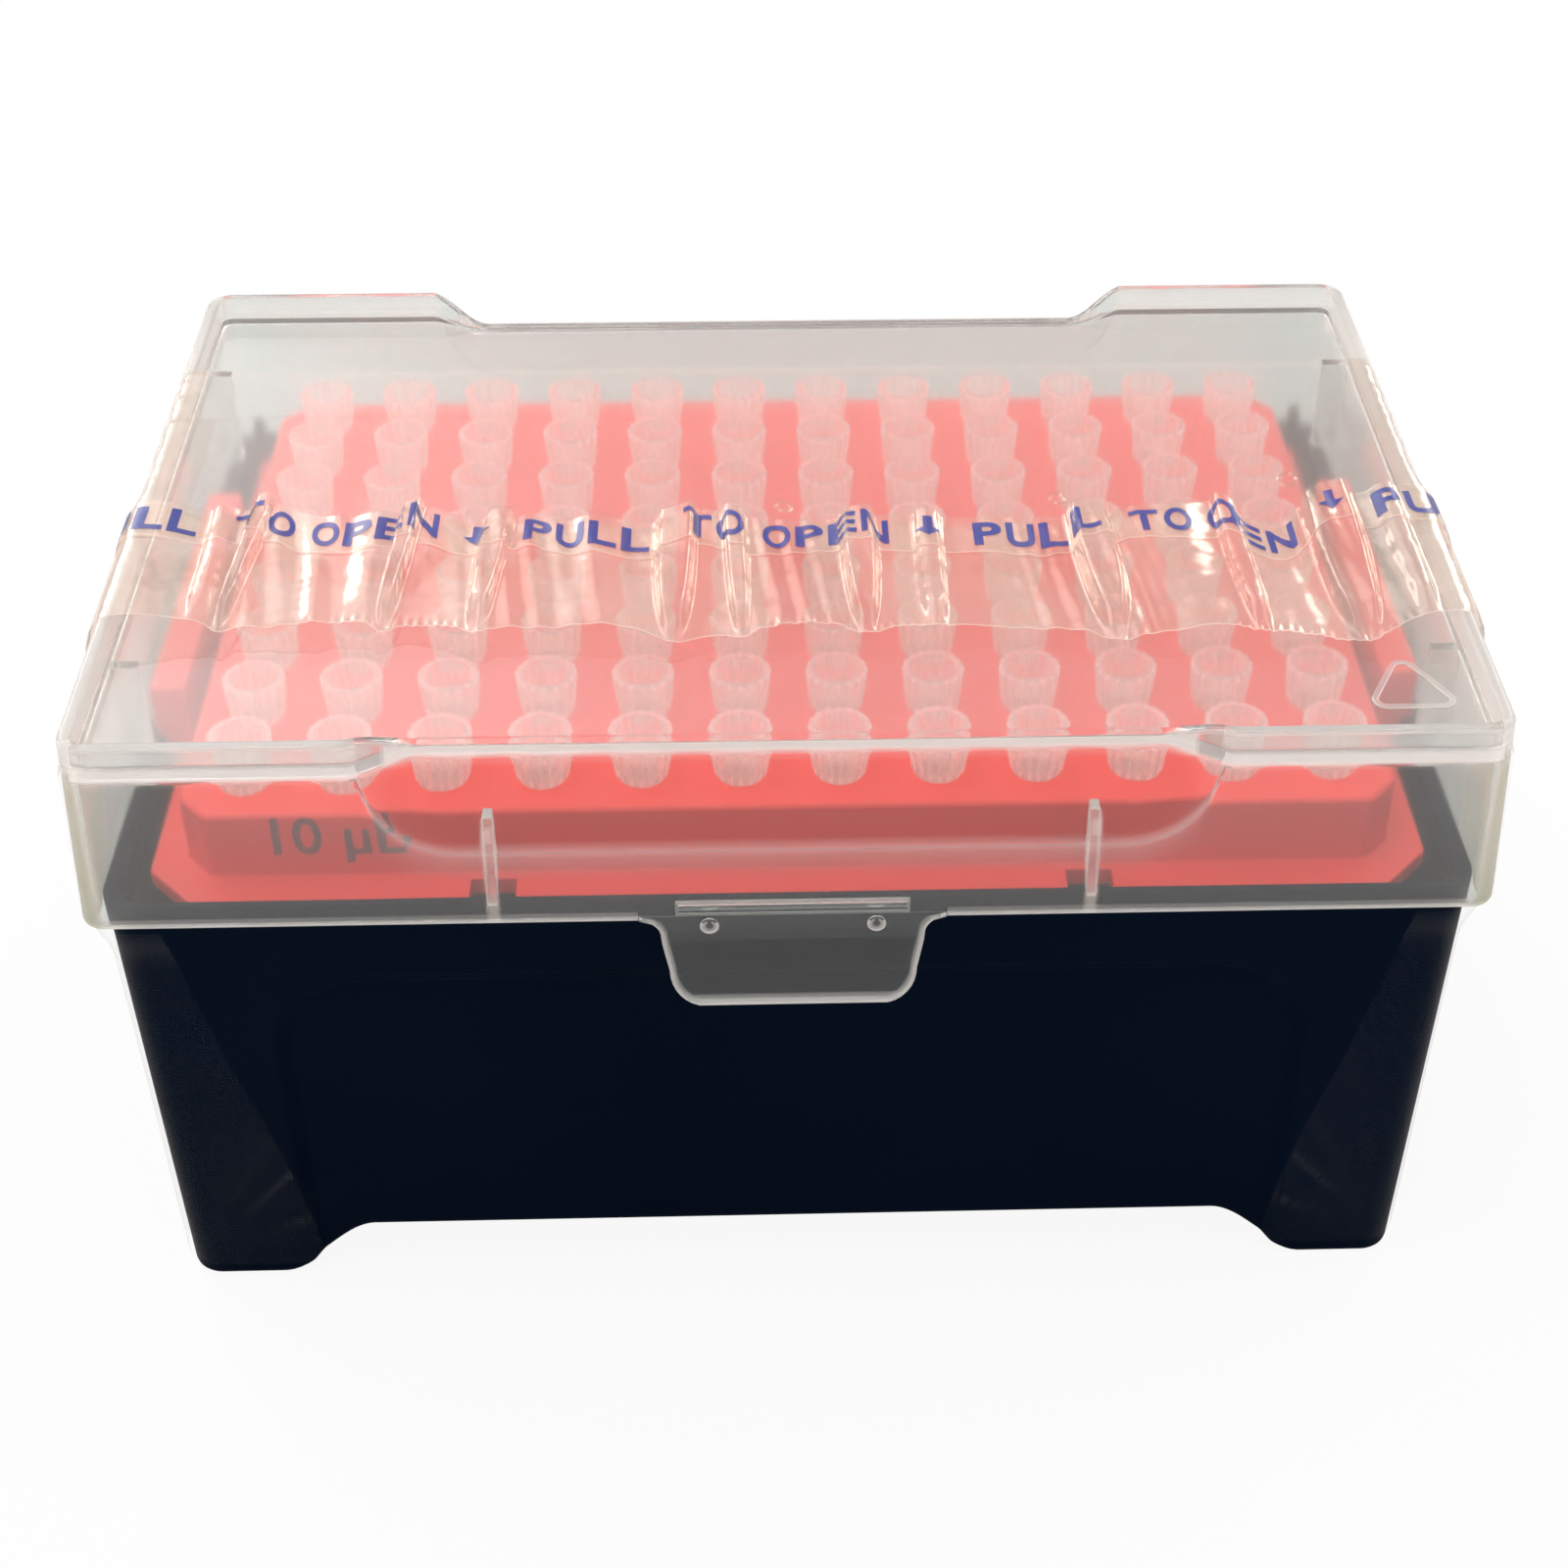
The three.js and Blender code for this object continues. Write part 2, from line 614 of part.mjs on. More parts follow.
function plastic(color, roughness, opacity = 1) {
  return new THREE.MeshStandardMaterial({
    color, roughness, metalness: 0, opacity, transparent: opacity < 1,
  });
}

const tipBox = new THREE.Group();
tipBox.add(mesh('base', makeBase(), plastic(0x0b1426, 0.45)));
tipBox.add(mesh('rack', makeRack(), plastic(0xe9504e, 0.5)));
tipBox.add(mesh('lid', makeLid(), plastic(0xd6dad8, 0.3, 0.45)));
tipBox.add(mesh('seal_film', makeSealFilm(), plastic(0xefe6da, 0.15, 0.25)));

for (let column = 0; column < COLUMNS; column += 1) {
  const name = `tips_column_${String(column + 1).padStart(2, '0')}`;
  tipBox.add(mesh(name, makeTipColumn(column), plastic(0xf2dedb, 0.25, 0.6)));
}

export default tipBox;
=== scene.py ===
"""A box of pipette tips: a dark tub, a red rack of 96 tips, a clear hinged lid and its seal film.

Shapes are worked out in millimetres and turned to metres as each mesh is made. X is the
box's width, -Y its front and Z up, with the origin at the middle of its foot.
"""

import math

import bmesh
import bpy
import numpy as np
from mathutils import Matrix, Vector, noise

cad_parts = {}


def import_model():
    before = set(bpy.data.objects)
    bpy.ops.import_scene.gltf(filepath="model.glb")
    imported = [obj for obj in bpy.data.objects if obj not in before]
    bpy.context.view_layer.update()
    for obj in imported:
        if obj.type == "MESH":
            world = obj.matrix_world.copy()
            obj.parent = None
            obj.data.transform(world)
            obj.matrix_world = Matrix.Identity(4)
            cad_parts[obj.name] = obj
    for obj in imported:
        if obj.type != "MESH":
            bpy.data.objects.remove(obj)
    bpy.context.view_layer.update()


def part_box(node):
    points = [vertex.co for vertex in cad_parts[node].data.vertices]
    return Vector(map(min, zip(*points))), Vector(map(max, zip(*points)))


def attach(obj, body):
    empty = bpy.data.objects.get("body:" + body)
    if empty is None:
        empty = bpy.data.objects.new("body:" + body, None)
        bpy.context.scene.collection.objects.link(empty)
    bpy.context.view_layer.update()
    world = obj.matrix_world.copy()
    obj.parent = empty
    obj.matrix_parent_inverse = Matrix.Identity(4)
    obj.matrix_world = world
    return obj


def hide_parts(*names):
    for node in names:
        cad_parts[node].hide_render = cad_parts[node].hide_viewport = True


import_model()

MM = 0.001


def node_box(name):
    """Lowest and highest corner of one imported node, in millimetres."""
    low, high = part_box(name)
    return np.array(low) / MM, np.array(high) / MM


# ---- Driving sizes ------------------------------------------------------------------------

base_high = node_box("base")[1]
rack_low, rack_high = node_box("rack")
lid_high = node_box("lid")[1]
film_low, film_high = node_box("seal_film")
first_low, first_high = node_box("tips_column_01")
last_low, last_high = node_box("tips_column_12")

# The tub: outside half sizes at the foot and at the collar, walls drafted between them.
BASE_TOP = (base_high[0], 41.7)
BASE_FOOT = (base_high[0] - 1.05, 40.6)
BASE_HEIGHT = 50.0
BASE_CORNER = 3.0
UNDER_CORNER = 0.8
BASE_WALL = 1.8
FOOT_WALL = 3.2
FLOOR_BOTTOM = 6.0
FLOOR_TOP = 7.6
FLOOR_FILLET, TOE_ROUND, COLLAR_ROUND = 0.9, 0.9, 0.35
ARCH_HEIGHT = 6.0
LONG_ARCH = (42.0, 51.6)
SHORT_ARCH = (24.0, 32.0)
LEDGE_Z = 47.5
COLLAR_INSIDE = (60.2, 40.95)
PANEL_HALF, PANEL_TOP, PANEL_CORNER = 48.7, 40.9, 9.0
PANEL_DEPTH, PANEL_STEP = 0.8, 1.5
COLLAR_CUT_X, COLLAR_CUT_HALF, COLLAR_CUT_Z = 26.8, 1.05, 48.8
POST_X, POST_Y, POST_HALF = 59.3, 40.95, 0.6
CATCH_HALF, CATCH_FRONT, CATCH_LOW, CATCH_HIGH = 9.9, 41.9, 48.7, 49.3

# The rack: a raised deck on a flange.
DECK_TOP = rack_high[2]
DECK_HALF = (55.2, 36.7)
DECK_CUT = (2.7, 3.0)
DECK_THICKNESS, DECK_WALL, DECK_ROUND = 1.6, 1.5, 0.5
DECK_RIBS, DECK_RIB_HALF = (-36, 0, 36), 0.6
FLANGE_HALF = (58.4, 40.55)
FLANGE_CUT = (4.5, 4.8)
FLANGE_LOW, FLANGE_HIGH = rack_low[2], 49.3
NOTCH_X, NOTCH_HALF, NOTCH_DEPTH = 27.0, 2.1, 2.85
EAR_INNER, EAR_NECK, EAR_OUTER = 57.2, 59.8, 60.7
EAR_LIP, EAR_TOP, EAR_HALF = 50.4, 56.0, 18.0
SOCKET_RADIUS = 2.22

# The tips, on the plate pitch that every multichannel pipette has.
COLUMNS, ROWS = 12, 8
FIRST_X = (first_low[0] + first_high[0]) / 2
PITCH = ((last_low[0] + last_high[0]) / 2 - FIRST_X) / (COLUMNS - 1)
CROWN_TOP = first_high[2]
TIP_END = first_low[2]
CROWN_RIBS = 16

# The lid: widest at its lower edge, with a raised rim round its plate.
LID_FOOT = (lid_high[0], 43.3)
LID_CREST = (62.85, 42.5)
LID_LOW, LID_TOP = 48.2, lid_high[2]
LID_CORNER, LID_WALL = 2.5, 1.25
PLATE_TOP, PLATE_THICKNESS = 65.05, 1.2
SCOOP_LOW, SCOOP_DEPTH, SCOOP_HALF = 56.0, 3.2, 37.2
SCOOP_CORNER, SCOOP_SWEEP, SCOOP_TOP_HALF = 8.0, 6.1, 38.2
SCOOP_LIP = 0.22
TAB_HALF, TAB_BEND, TAB_FOOT = 13.9, 46.1, 40.2
TAB_MARK_X, TAB_MARK_Z = 7.5, 47.7
SLOT_HALF, SLOT_LOW, SLOT_HIGH = 10.3, 48.4, 49.6
FRONT_RIB_X, FRONT_RIB_HALF, FRONT_RIB_LOW, FRONT_RIB_HIGH = 26.8, 0.45, 49.7, 58.4
GUSSET_FRONT, GUSSET_REAR, GUSSET_HALF, GUSSET_LOW = -25.3, 29.5, 0.6, 53.6
MARK = (55.5, -32.9)

# The snap hinge.
HINGE_X, HINGE_Y, HINGE_Z = 38.0, 43.6, 44.6
LUG_HALF, LUG_RADIUS, PIN_RADIUS, PIN_END = 5.6, 1.7, 1.0, 7.9
KNUCKLE_IN, KNUCKLE_OUT, KNUCKLE_RADIUS, KNUCKLE_BORE = 6.0, 8.2, 2.2, 1.3

# The seal: a clear band shrunk over the lid and down its ends, with a printed tear strip.
BAND_BACK, BAND_FRONT = film_high[1], -23.6
BAND_FOOT = film_low[2]
BAND_GAP, BAND_BEND = 0.35, 1.3
END_BACK, END_FRONT = 41.0, -41.2
STRIP_BACK, STRIP_WIDTH = -5.1, 6.3
# Where the tear strip is drawn back (+) or forward (-): place, half width, how far.
STRIP_WAVES = (
    (-50.0, 3.5, 2.2), (-34.5, 2.2, 1.6), (-24.5, 2.2, 1.6), (-8.0, 2.2, 1.6), (11.0, 4.5, 0.8),
    (24.0, 4.0, -1.2), (34.0, 2.5, 1.2), (42.0, 2.2, 1.4), (47.2, 2.8, -3.6), (54.0, 2.2, 0.8),
)
# Each pleat: its place across the lid at the strip and at the free edge, half its width,
# its height, and how far it has the sharp shoulders of a pinched fold.
PLEATS = (
    (-54.2, -54.0, 1.1, 0.9, 0.3), (-50.6, -52.0, 0.8, 1.4, 1.0), (-43.5, -44.0, 1.7, 0.5, 0.0),
    (-39.6, -38.8, 1.9, 0.9, 0.1), (-36.0, -37.2, 0.9, 1.5, 1.0), (-27.6, -28.6, 1.3, 1.4, 0.9),
    (-18.0, -17.8, 2.2, 0.9, 0.1), (-10.5, -10.6, 1.8, 1.5, 1.0), (-5.0, -4.2, 1.0, 1.2, 0.9),
    (6.9, 7.2, 1.6, 1.4, 1.0), (13.8, 13.6, 1.2, 1.1, 0.5), (29.4, 30.0, 1.9, 1.6, 1.0),
    (38.0, 38.6, 2.4, 0.8, 0.0), (43.0, 43.4, 1.1, 1.3, 0.7), (52.8, 53.0, 2.4, 1.6, 1.0),
    (58.5, 58.8, 1.1, 0.8, 0.4),
)
PRINT_PERIOD, PRINT_START, LETTER_PITCH, LETTER_HEIGHT = 43.3, -25.2, 3.15, 3.7
TUCK, TUCK_WIDTH = 45.0, 4.2
INK_GAP = 0.06
# The vents: place along the band, y and radius.
VENTS = ((-0.1, -2.6, 0.55), (26.8, -2.2, 0.5), (49.9, 0.4, 0.7))
# The pull instruction's words and its arrow, and how far each starts along one repeat.
PRINT_WORDS = ((0, "PULL"), (15.4, "TO"), (23.0, "OPEN"), (37.6, "|"))

# How far the film stands off the tub's left (-1) and right (1) end.
END_GAP = {-1: 0.5, 1: 0.3}

# How far back the lower film reaches.
END_FILM_BACK = 37

# How tall the typeface's capitals are, as a share of its size.
CAPITAL_SHARE = 0.68

# The volume printed on the rack: its width, the height of its capitals, its left edge and its foot.
VOLUME_WIDTH, VOLUME_CAPITALS, VOLUME_LEFT, VOLUME_FOOT = 13.0, 4.0, -47.7, 51.8

# The studio: half the floor's width, and where each window stands and how bright it is.
FLOOR_HALF = 3000
WINDOWS = (((-0.46, 0.62, 0.636), 2.8), ((0.62, 0.5, 0.6), 1.7))

# How much milkier the lid's plastic is made at its front end corners, where it is seen edge on: painted
# shade, in a darker milk.
CORNER_SHADE_CLOUD = 0.4


# ---- Small tools --------------------------------------------------------------------------


def linear(code):
    """An sRGB hex colour as linear RGBA."""
    parts = [int(code[i : i + 2], 16) / 255 for i in (1, 3, 5)]
    curve = [c / 12.92 if c <= 0.04045 else ((c + 0.055) / 1.055) ** 2.4 for c in parts]
    return (*curve, 1.0)


def smoothstep(value):
    t = np.clip(value, 0.0, 1.0)
    return t * t * (3 - 2 * t)


def spaced(low, high, step):
    """Evenly spaced values from low to high, about step apart."""
    count = max(1, round((high - low) / step))
    return np.linspace(low, high, count + 1)


def stations(*spans):
    """Values that run through spans of (low, high, step), and their mirror image."""
    half = np.unique(np.concatenate([spaced(*span) for span in spans]).round(3))
    return np.unique(np.concatenate([-half, half]))


def circle(sides):
    """The turns of evenly spaced points round a circle."""
    return np.linspace(0, 2 * math.pi, sides, endpoint=False)


def to_mesh(name, points, faces):
    """A mesh from points in millimetres."""
    mesh = bpy.data.meshes.new(name)
    mesh.from_pydata([tuple(p) for p in np.asarray(points) * MM], [], faces)
    mesh.validate()
    return mesh


def to_object(name, mesh):
    obj = bpy.data.objects.new(name, mesh)
    bpy.context.scene.collection.objects.link(obj)
    return obj


def loft(name, rings, capped=True):
    """Skins a stack of rings, each with as many points, into a body that is capped or joined end to end."""
    count = len(rings[0])
    points = np.concatenate(rings)
    faces = []
    for low in range(0, (len(rings) - capped) * count, count):
        high = (low + count) % len(points)
        for i in range(count):
            j = (i + 1) % count
            faces.append((low + i, low + j, high + j, high + i))
    if capped:
        faces.append(tuple(range(count - 1, -1, -1)))
        faces.append(tuple(range(len(points) - count, len(points))))
    obj = to_object(name, to_mesh(name, points, faces))
    outwards(obj)
    return obj


def outwards(obj):
    """Turns every face of a closed mesh to face out."""
    mesh = bmesh.new()
    mesh.from_mesh(obj.data)
    bmesh.ops.recalc_face_normals(mesh, faces=mesh.faces)
    mesh.to_mesh(obj.data)
    mesh.free()


def joined(name, objects):
    """One object from several, each still a closed body of its own."""
    bpy.ops.object.select_all(action="DESELECT")
    for obj in objects:
        obj.select_set(True)
    bpy.context.view_layer.objects.active = objects[0]
    bpy.ops.object.join()
    objects[0].name = name
    return objects[0]


def evaluated(obj):
    """An object's mesh with its modifiers applied."""
    bpy.context.view_layer.update()
    graph = bpy.context.evaluated_depsgraph_get()
    return bpy.data.meshes.new_from_object(obj.evaluated_get(graph), depsgraph=graph)


def settle(obj):
    """Applies an object's modifiers."""
    made = evaluated(obj)
    obj.modifiers.clear()
    obj.data = made


def boolean(body, tool, operation):
    """Joins or cuts body with tool and drops the tool."""
    step = body.modifiers.new("step", "BOOLEAN")
    step.operation = operation
    step.solver = "EXACT"
    step.use_self = operation == "UNION"
    step.object = tool
    settle(body)
    bpy.data.objects.remove(tool)
    return body


def rounded_shading(obj):
    for face in obj.data.polygons:
        face.use_smooth = True
    return obj


def smooth(obj, angle=32):
    """Smooth faces that keep their edges crisp where they turn by more than angle."""
    rounded_shading(obj)
    obj.data.set_sharp_from_angle(angle=math.radians(angle))
    weigh = obj.modifiers.new("weighted_normals", "WEIGHTED_NORMAL")
    weigh.keep_sharp = True
    settle(obj)
    return obj


def bevelled(obj, width, segments):
    """Rounds an object's edges, unless the width is 0."""
    if width:
        edge = obj.modifiers.new("edge", "BEVEL")
        edge.width = width * MM
        edge.segments = segments
        edge.limit_method = "ANGLE"
        settle(obj)
    return obj


def block(name, low, high, bevel=0.2):
    """A block with rounded edges, between two corners."""
    points = [(x, y, z) for z in (low[2], high[2]) for y in (low[1], high[1]) for x in (low[0], high[0])]
    faces = [(0, 2, 3, 1), (4, 5, 7, 6), (0, 1, 5, 4), (2, 6, 7, 3), (0, 4, 6, 2), (1, 3, 7, 5)]
    return bevelled(to_object(name, to_mesh(name, points, faces)), bevel, 3)


def rod(name, x0, x1, y, z, radius, bevel=0.25, sides=32):
    """A round bar along X with rounded ends."""
    turn = circle(sides)
    rings = []
    for end, inwards, steps in ((x0, 1, (0, 0.3, 1)), (x1, -1, (1, 0.3, 0))):
        for step, less in zip(steps, (1, 0.3, 0)[::inwards]):
            r = radius - less * bevel
            rings.append(np.column_stack([np.full(sides, end + inwards * step * bevel),
                                          y + r * np.cos(turn), z + r * np.sin(turn)]))
    return loft(name, rings)


def profile_along(name, outline, low, high, axis, bevel=0.2):
    """An outline run from low to high along X or Y; it is drawn in the other axis and Z."""
    count = len(outline)
    points = [(level, a, z) if axis == "X" else (a, level, z) for level in (low, high) for a, z in outline]
    faces = [(i, (i + 1) % count, count + (i + 1) % count, count + i) for i in range(count)]
    faces += [tuple(range(count - 1, -1, -1)), tuple(range(count, 2 * count))]
    obj = to_object(name, to_mesh(name, points, faces))
    outwards(obj)
    return bevelled(obj, bevel, 2)


# ---- Walls --------------------------------------------------------------------------------


def rounded_rectangle(half, radius, xs, ys, corner_steps=8):
    """A rounded rectangle from its front left, anticlockwise, and the outward way at each point."""
    half_x, half_y = half
    quarter = np.linspace(0, math.pi / 2, corner_steps + 1)
    points, out = [], []

    def side(values, place, way):
        for value in values:
            points.append(place(value))
            out.append(way)

    def corner(centre_x, centre_y, start):
        for turn in start + quarter:
            way = (math.cos(turn), math.sin(turn))
            points.append((centre_x + radius * way[0], centre_y + radius * way[1]))
            out.append(way)

    inner_x, inner_y = half_x - radius, half_y - radius
    side(xs, lambda x: (x, -half_y), (0, -1))
    corner(inner_x, -inner_y, -math.pi / 2)
    side(ys, lambda y: (half_x, y), (1, 0))
    corner(inner_x, inner_y, 0)
    side(xs[::-1], lambda x: (x, half_y), (0, 1))
    corner(-inner_x, inner_y, math.pi / 2)
    side(ys[::-1], lambda y: (-half_x, y), (-1, 0))
    corner(-inner_x, -inner_y, math.pi)
    return np.array(points), np.array(out)


class Wall:
    """A drafted wall round a rounded rectangle, with the same stations at every height."""

    def __init__(self, foot, crest, low, high, radius, xs, ys):
        self.low, self.high = low, high
        self.foot, self.out = rounded_rectangle(foot, radius, xs, ys)
        self.crest, _ = rounded_rectangle(crest, radius, xs, ys)

    def ring(self, z, inset=0.0):
        z = np.broadcast_to(np.asarray(z, float), len(self.foot))
        inset = np.broadcast_to(np.asarray(inset, float), len(self.foot))
        up = ((z - self.low) / (self.high - self.low))[:, None]
        flat = self.foot + (self.crest - self.foot) * up - self.out * inset[:, None]
        return np.column_stack([flat, z])


def quarter_round(steps=3):
    """Pairs that run a rounded edge: from (1, 0) to (0, 1), as (1 - sin, 1 - cos) shares."""
    turns = np.linspace(0, math.pi / 2, steps + 1)
    return [(1 - math.sin(t), 1 - math.cos(t)) for t in turns]


# ---- Tub ----------------------------------------------------------------------------------


def arch_height(along, inner, outer):
    """How far a wall's foot is lifted at a distance from the wall's middle."""
    return ARCH_HEIGHT * (1 - smoothstep((np.abs(along) - inner) / (outer - inner)))


def panel_press(x, z):
    """How far the long walls' panels are pressed in, from 0 to 1."""
    dx = np.abs(x) - (PANEL_HALF - PANEL_CORNER)
    dz = z - (PANEL_TOP - PANEL_CORNER)
    outside = np.hypot(np.maximum(dx, 0), np.maximum(dz, 0)) + np.minimum(np.maximum(dx, dz), 0)
    return smoothstep((PANEL_CORNER - outside) / PANEL_STEP)


def tub():
    xs = stations((0, 36, 4), (38, PANEL_HALF - 1.9, 0.45), (PANEL_HALF - 1.9, PANEL_HALF + 0.2, 0.25),
                  (PANEL_HALF + 0.6, 52, 0.7), (53.5, 55.4, 1.9))
    ys = stations((0, 20, 4), (23.5, 32.5, 0.75), (34, 35.3, 1.3))
    wall = Wall(BASE_FOOT, BASE_TOP, 0, BASE_HEIGHT, BASE_CORNER, xs, ys)
    along_x, along_y = wall.foot[:, 0], wall.foot[:, 1]
    long_side = np.abs(wall.out[:, 1]) > 0.99
    short_side = np.abs(wall.out[:, 0]) > 0.99
    foot = np.zeros(len(along_x))
    foot[long_side] = arch_height(along_x[long_side], *LONG_ARCH)
    foot[short_side] = arch_height(along_y[short_side], *SHORT_ARCH)

    def press(z):
        z = np.broadcast_to(np.asarray(z, float), len(foot))
        return np.where(long_side, PANEL_DEPTH * panel_press(along_x, z), 0.0)

    under_foot, under_top = [(half[0] - FOOT_WALL, half[1] - FOOT_WALL) for half in (BASE_FOOT, BASE_TOP)]
    under = Wall(under_foot, under_top, 0, BASE_HEIGHT, UNDER_CORNER, xs, ys)
    rings = [under.ring(FLOOR_BOTTOM, 0.5), under.ring(FLOOR_BOTTOM)]
    rings += [under.ring(foot + 0.1), under.ring(foot, -0.2)]
    for inset, up in quarter_round(4):
        z = foot + TOE_ROUND * up
        rings.append(wall.ring(z, press(z) + TOE_ROUND * inset))
    start, level = foot + TOE_ROUND, 12.0
    rows = [start + (level - start) * share for share in np.linspace(0, 1, 6)[1:]]
    rows += [*spaced(level, PANEL_TOP - PANEL_CORNER, 4)[1:]]
    rows += [*spaced(PANEL_TOP - PANEL_CORNER, PANEL_TOP - 1.6, 0.45)[1:]]
    rows += [*spaced(PANEL_TOP - 1.6, PANEL_TOP + 0.15, 0.25)[1:], PANEL_TOP + 1.2, 45.0, 48.0]
    rings += [wall.ring(z, press(z)) for z in rows]
    for inset, up in quarter_round(3):
        rings.append(wall.ring(BASE_HEIGHT - COLLAR_ROUND + COLLAR_ROUND * (1 - inset), COLLAR_ROUND * up))
    inside = Wall(COLLAR_INSIDE, COLLAR_INSIDE, 0, 1, BASE_CORNER - 1.2, xs, ys)
    rings += [inside.ring(BASE_HEIGHT, -0.2), inside.ring(BASE_HEIGHT - 0.06, -0.06)]
    rings += [inside.ring(BASE_HEIGHT - 0.2), inside.ring(LEDGE_Z + 0.1), inside.ring(LEDGE_Z, 0.08)]
    rings += [wall.ring(LEDGE_Z, BASE_WALL - 0.1), wall.ring(LEDGE_Z - 0.15, BASE_WALL)]
    rings += [wall.ring(30, BASE_WALL), wall.ring(FLOOR_TOP + 2, BASE_WALL)]
    for inset, up in quarter_round(3)[::-1]:
        rings.append(wall.ring(FLOOR_TOP + FLOOR_FILLET * up, BASE_WALL + FLOOR_FILLET * inset))
    body = loft("base_tub", rings)
    cuts = [
        block("cut", (x - COLLAR_CUT_HALF, -BASE_TOP[1] - 1, COLLAR_CUT_Z),
              (x + COLLAR_CUT_HALF, 1 - COLLAR_INSIDE[1], BASE_HEIGHT + 1), 0)
        for x in (-COLLAR_CUT_X, COLLAR_CUT_X)
    ]
    boolean(body, joined("cuts", cuts), "DIFFERENCE")
    extras = [block("catch", (-CATCH_HALF, -CATCH_FRONT, CATCH_LOW),
                    (CATCH_HALF, -COLLAR_INSIDE[1] - 0.2, CATCH_HIGH), 0.15)]
    for side in (-1, 1):
        extras.append(block("post", (side * POST_X - POST_HALF, POST_Y - POST_HALF, LEDGE_Z - 0.5),
                            (side * POST_X + POST_HALF, POST_Y + POST_HALF, base_high[2]), 0.2))
        extras += hinge_ears(side * HINGE_X)
    boolean(body, joined("extras", extras), "UNION")
    return smooth(body)


def hinge_ears(x):
    """Two ears with a snap mouth on top, which hold one hinge pin."""
    mouth = math.radians(50)
    round_back = np.linspace(math.radians(-60), math.radians(65), 14)
    round_pin = np.linspace(math.pi / 2 - mouth, mouth - 1.5 * math.pi, 18)
    wall = BASE_TOP[1] - 0.9
    outline = [(wall, HINGE_Z - 4.2)]
    for radius, turns in ((KNUCKLE_RADIUS, round_back), (KNUCKLE_BORE, round_pin)):
        outline += [(HINGE_Y + radius * math.cos(t), HINGE_Z + radius * math.sin(t)) for t in turns]
    outline += [(HINGE_Y - 0.9, HINGE_Z + 2.0), (wall, HINGE_Z + KNUCKLE_RADIUS)]
    return [profile_along("ear", outline, x + a, x + b, "X", 0.12)
            for a, b in ((-KNUCKLE_OUT, -KNUCKLE_IN), (KNUCKLE_IN, KNUCKLE_OUT))]


# ---- Rack ---------------------------------------------------------------------------------


def chamfered_ring(half, cut, z, round_off=0.5, steps=3):
    """A rectangle with cut corners, each corner of the outline slightly rounded, at height z."""
    (hx, hy), (cx, cy) = half, cut
    corners = [(cx - hx, -hy), (hx - cx, -hy), (hx, cy - hy), (hx, hy - cy),
               (hx - cx, hy), (cx - hx, hy), (-hx, hy - cy), (-hx, cy - hy)]
    points = []
    for i, corner in enumerate(corners):
        here = np.array(corner)
        before = np.array(corners[i - 1]) - here
        after = np.array(corners[(i + 1) % len(corners)]) - here
        start = here + before / np.linalg.norm(before) * round_off
        end = here + after / np.linalg.norm(after) * round_off
        for t in np.linspace(0, 1, steps + 1):
            points.append((1 - t) ** 2 * start + 2 * t * (1 - t) * here + t * t * end)
    return np.column_stack([np.array(points), np.full(len(points), z)])


def rack_tray():
    def deck(z, inset=0.0):
        return chamfered_ring((DECK_HALF[0] - inset, DECK_HALF[1] - inset), DECK_CUT, z)

    def flange(z, inset=0.0):
        return chamfered_ring((FLANGE_HALF[0] - inset, FLANGE_HALF[1] - inset), FLANGE_CUT, z)

    ceiling = DECK_TOP - DECK_THICKNESS
    rings = [deck(ceiling, DECK_WALL + 0.4), deck(ceiling - 0.4, DECK_WALL), deck(FLANGE_LOW, DECK_WALL)]
    rings += [flange(FLANGE_LOW, 0.25), flange(FLANGE_LOW + 0.07, 0.07), flange(FLANGE_LOW + 0.25)]
    rings += [flange(FLANGE_HIGH - 0.3), flange(FLANGE_HIGH - 0.09, 0.09), flange(FLANGE_HIGH, 0.3)]
    rings += [deck(FLANGE_HIGH, -0.35), deck(FLANGE_HIGH + 0.1, -0.1), deck(FLANGE_HIGH + 0.35)]
    rings += [deck(DECK_TOP - DECK_ROUND * inset, DECK_ROUND * up) for inset, up in quarter_round(4)]
    body = loft("rack_tray", rings)
    tools = []
    for x in (-NOTCH_X, NOTCH_X):
        for side in (-1, 1):
            near, far = sorted((side * (FLANGE_HALF[1] - NOTCH_DEPTH), side * (FLANGE_HALF[1] + 2)))
            tools.append(block("notch", (x - NOTCH_HALF, near, FLANGE_LOW - 1),
                               (x + NOTCH_HALF, far, FLANGE_HIGH + 0.3), 0))
    tools.append(socket_drills())
    boolean(body, joined("tools", tools), "DIFFERENCE")
    extras = [ear(-1), ear(1)]
    for x in DECK_RIBS:
        extras.append(block("rib", (x - DECK_RIB_HALF, 1 - DECK_HALF[1], FLANGE_HIGH),
                            (x + DECK_RIB_HALF, DECK_HALF[1] - 1, ceiling + 0.5), 0))
    boolean(body, joined("extras", extras), "UNION")
    return smooth(body)


def tip_places():
    """The middle of each tip, column by column from the front left."""
    for column in range(COLUMNS):
        for row in range(ROWS):
            yield FIRST_X + column * PITCH, (row - (ROWS - 1) / 2) * PITCH


def socket_drills():
    """Ninety-six drills in one mesh, one for each socket in the deck."""
    sides = 24
    turn = circle(sides)
    points, faces = [], []
    for x, y in tip_places():
        first = len(points)
        for z in (DECK_TOP - DECK_THICKNESS - 1, DECK_TOP + 1):
            points += [(x + SOCKET_RADIUS * math.cos(t), y + SOCKET_RADIUS * math.sin(t), z) for t in turn]
        for i in range(sides):
            j = (i + 1) % sides
            faces.append((first + i, first + j, first + sides + j, first + sides + i))
        faces.append(tuple(first + i for i in range(sides - 1, -1, -1)))
        faces.append(tuple(first + sides + i for i in range(sides)))
    return to_object("drills", to_mesh("drills", points, faces))


